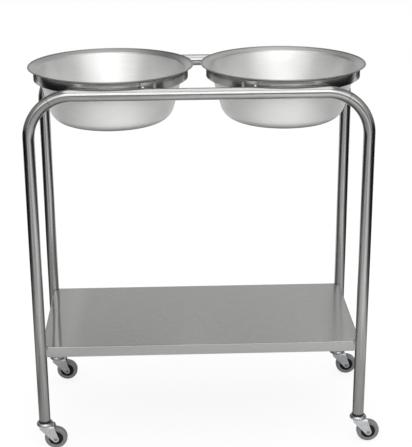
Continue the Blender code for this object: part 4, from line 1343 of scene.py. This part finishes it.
PALE_ALONG = [(-4, 0.0), (0.35, 0.0), (0.6, 1.0), (4, 1.0)]
STAND_TONES = [(-4, 0.35), (-0.75, 0.35), (-0.4, 0.7), (-0.15, 0.8), (0.1, 0.62), (4, 0.6)]
STAND_ACROSS = [(-4, 0.0), (-0.85, 0.0), (-0.65, 1.0), (0.65, 1.0), (0.85, 0.0), (4, 0.0)]
STAND_ALONG = [(-4, 0.0), (-0.95, 0.0), (-0.55, 1.0), (0.45, 1.0), (0.7, 0.0), (4, 0.0)]
SHELF_TONE = (0.35, 0.35, 0.35)
SHELF_ACROSS = [(-4, 0.0), (-0.42, 0.0), (-0.28, 1.0), (0.28, 1.0), (0.42, 0.0), (4, 0.0)]
SHELF_ALONG = [(-4, 0.0), (-0.2, 0.0), (-0.05, 1.0), (0.38, 1.0), (0.52, 0.0), (4, 0.0)]


def floor_tone(tree):
    """Tones across the floor for three depths, blended by depth and multiplied by a ramp from front to rear.
    Three places then change the tone, each the product of a ramp across the floor and one along it."""
    place = parts_of(tree, own_place(tree))

    def across(stops):
        """Values from left to right."""
        return ramp(tree, place["X"], FLOOR_REACH, stops)

    def along(stops):
        """Values from front to rear."""
        return ramp(tree, place["Y"], FLOOR_REACH, stops)

    tone = blended(tree, along(NEAR_SHARE), across(FAR_TONES), across(NEAR_TONES))
    tone = blended(tree, along(FARTHEST_SHARE), tone, across(FARTHEST_TONES))
    tone = blended(tree, along(BEHIND_SHARE), tone, WHITE[:3])
    tone = multiplied(tree, tone, along(FRONT_TO_REAR))
    pale = multiplied(tree, across(PALE_ACROSS), along(PALE_ALONG))
    tone = blended(tree, pale, tone, PALE_TONE)
    under_stand = multiplied(tree, across(STAND_ACROSS), along(STAND_ALONG))
    tone = blended(tree, under_stand, tone, across(STAND_TONES), "MULTIPLY")
    under_shelf = multiplied(tree, across(SHELF_ACROSS), along(SHELF_ALONG))
    return blended(tree, under_shelf, tone, SHELF_TONE, "MULTIPLY")


floor_reach = (-FLOOR_REACH, FLOOR_REACH)
floor_tree, floor_colour = card("floor_card", rectangle(2, CARD_LIFT, floor_reach, floor_reach))
floor_tree.links.new(floor_tone(floor_tree), floor_colour)
print("floor card:", len(floor_tree.nodes), "nodes")

# %% [markdown]
# The side cards are dark low down, where the legs' edges look, and turn paler upward. The rear card is dark
# near the floor and pale above, where the shelf looks, and the card over it is bright only to the right,
# for the rims. In front and overhead, plain grey cards keep the room from being all white.

# %% Cards round the stand
SIDE_X = 1.9
SIDE_RANGE = (-1.5, 1.0)
SIDE_HEIGHT = 3.2
SIDE_REACH = 2.5
LEFT_UPWARD = [(0, 0.012), (0.6, 0.012), (0.8, 0.28), (1.2, 0.35), (1.8, 0.55), (3.2, 0.6)]
RIGHT_UPWARD = [(0, 0.012), (0.6, 0.012), (0.8, 0.3), (1.2, 0.55), (1.8, 0.65), (3.2, 0.65)]
SIDE_ALONG = [(-2.5, 1.0), (0.1, 1.0), (0.6, 0.2), (2.5, 0.2)]
REAR_Y = 2.4
REAR_HALF = 3.0
REAR_SPLIT = 1.95
REAR_ACROSS = [(-3, 0.15), (-1.6, 0.2), (-1.0, 0.56), (-0.65, 0.57), (-0.42, 0.73), (0, 0.68), (1.0, 0.6),
               (1.6, 0.2), (3, 0.15)]
REAR_UPWARD = [(0, 0.12), (0.4, 0.12), (0.75, 1.0), (1.95, 1.0)]
REAR_HIGH_ACROSS = [(-3, 0.12), (-1.3, 0.12), (-0.6, 0.27), (0, 0.42), (0.6, 0.8), (1.3, 0.8), (3, 0.25)]
FRONT_Y = -4.5
FRONT_RANGE = (-4.0, 4.0)
FRONT_SPLIT = 1.6
FRONT_LOW_TONE = 0.32
FRONT_HIGH_TONE = 0.65
CEILING_Z = 4.4
CEILING_RANGE = (-5.0, 5.0)
CEILING_TONE = 0.3
for name, x, upward in (("left_card", -SIDE_X, LEFT_UPWARD), ("right_card", SIDE_X, RIGHT_UPWARD)):
    ramped_card(name, rectangle(0, x, SIDE_RANGE, (0.0, SIDE_HEIGHT)),
                ("Z", SIDE_HEIGHT, upward), ("Y", SIDE_REACH, SIDE_ALONG))
rear_range = (-REAR_HALF, REAR_HALF)
ramped_card("rear_card", rectangle(1, REAR_Y, rear_range, (0.0, REAR_SPLIT)),
            ("X", REAR_HALF, REAR_ACROSS), ("Z", REAR_SPLIT, REAR_UPWARD))
ramped_card("rear_high_card", rectangle(1, REAR_Y, rear_range, (REAR_SPLIT, CEILING_Z)),
            ("X", REAR_HALF, REAR_HIGH_ACROSS))
card("front_low_card", rectangle(1, FRONT_Y, FRONT_RANGE, (0.0, FRONT_SPLIT)), FRONT_LOW_TONE)
card("front_high_card", rectangle(1, FRONT_Y, FRONT_RANGE, (FRONT_SPLIT, CEILING_Z)), FRONT_HIGH_TONE)
card("ceiling_card", rectangle(2, CEILING_Z, CEILING_RANGE, CEILING_RANGE), CEILING_TONE)

# %% [markdown]
# ## Light and camera
# Four large rectangular lamps give the plain soft light: one in front, one at each side of it and one
# overhead. Small lamps would be simpler, but they leave hard spots on steel. The camera stands where the
# photograph was taken from, with the lens that gives the same perspective.

# %% Soft lights
LAMP_AIM = Vector((0, -0.17, 0.81))
# name, place, width, height, and brightness as a mirror shows it
LAMPS = [
    ("front_softbox", (0.0, -3.04, 2.82), 2.2, 2.69, 1.65),
    ("left_softbox", (-1.75, -2.7, 2.6), 2.0, 2.4, 0.95),
    ("right_softbox", (1.75, -2.7, 2.6), 2.0, 2.4, 1.15),
    ("top_softbox", (0.0, 0.1, 3.4), 2.0, 3.2, 1.35),
]
for name, place, width, height, brightness in LAMPS:
    lamp = bpy.data.lights.new(name, "AREA")
    lamp.shape = "RECTANGLE"
    lamp.size = width
    lamp.size_y = height
    lamp.energy = brightness * math.pi * width * height
    holder = bpy.data.objects.new(name, lamp)
    bpy.context.scene.collection.objects.link(holder)
    holder.location = place
    holder.rotation_euler = (LAMP_AIM - Vector(place)).to_track_quat("-Z", "Y").to_euler()
    print(f"{name}: {lamp.energy:.1f} W")

# %% Camera at the photograph's angle
IMAGE_HEIGHT = 447
SENSOR_WIDTH = 36.0
FOCAL_PIXELS = 1180.95
CAMERA_PLACE = Vector((-0.0812, -2.5426, 1.3782))
YAW = math.radians(-1.88)
PITCH = math.radians(19.62)
ROLL = math.radians(-0.38)


def camera_turn():
    """Right, up and backward directions of a camera turned by yaw, tipped down by pitch and rolled."""
    spin = Matrix.Rotation(YAW, 3, "Z")
    forward = spin @ Vector((0, math.cos(PITCH), -math.sin(PITCH)))
    right = spin @ Vector((1, 0, 0))
    up = right.cross(forward)
    rolled_right = math.cos(ROLL) * right + math.sin(ROLL) * up
    rolled_up = math.cos(ROLL) * up - math.sin(ROLL) * right
    return Matrix((rolled_right, rolled_up, -forward)).transposed()


lens = bpy.data.cameras.new("camera")
lens.sensor_width = SENSOR_WIDTH
lens.lens = FOCAL_PIXELS * SENSOR_WIDTH / IMAGE_HEIGHT
camera = bpy.data.objects.new("camera", lens)
bpy.context.scene.collection.objects.link(camera)
camera.matrix_world = Matrix.Translation(CAMERA_PLACE) @ camera_turn().to_4x4()
bpy.context.scene.camera = camera
bpy.context.scene.view_settings.view_transform = "Standard"
print(f"lens {lens.lens:.1f} mm")

# %% Visual size
low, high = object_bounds()
print("visual size in mm:", [round(1000 * side, 1) for side in high - low])
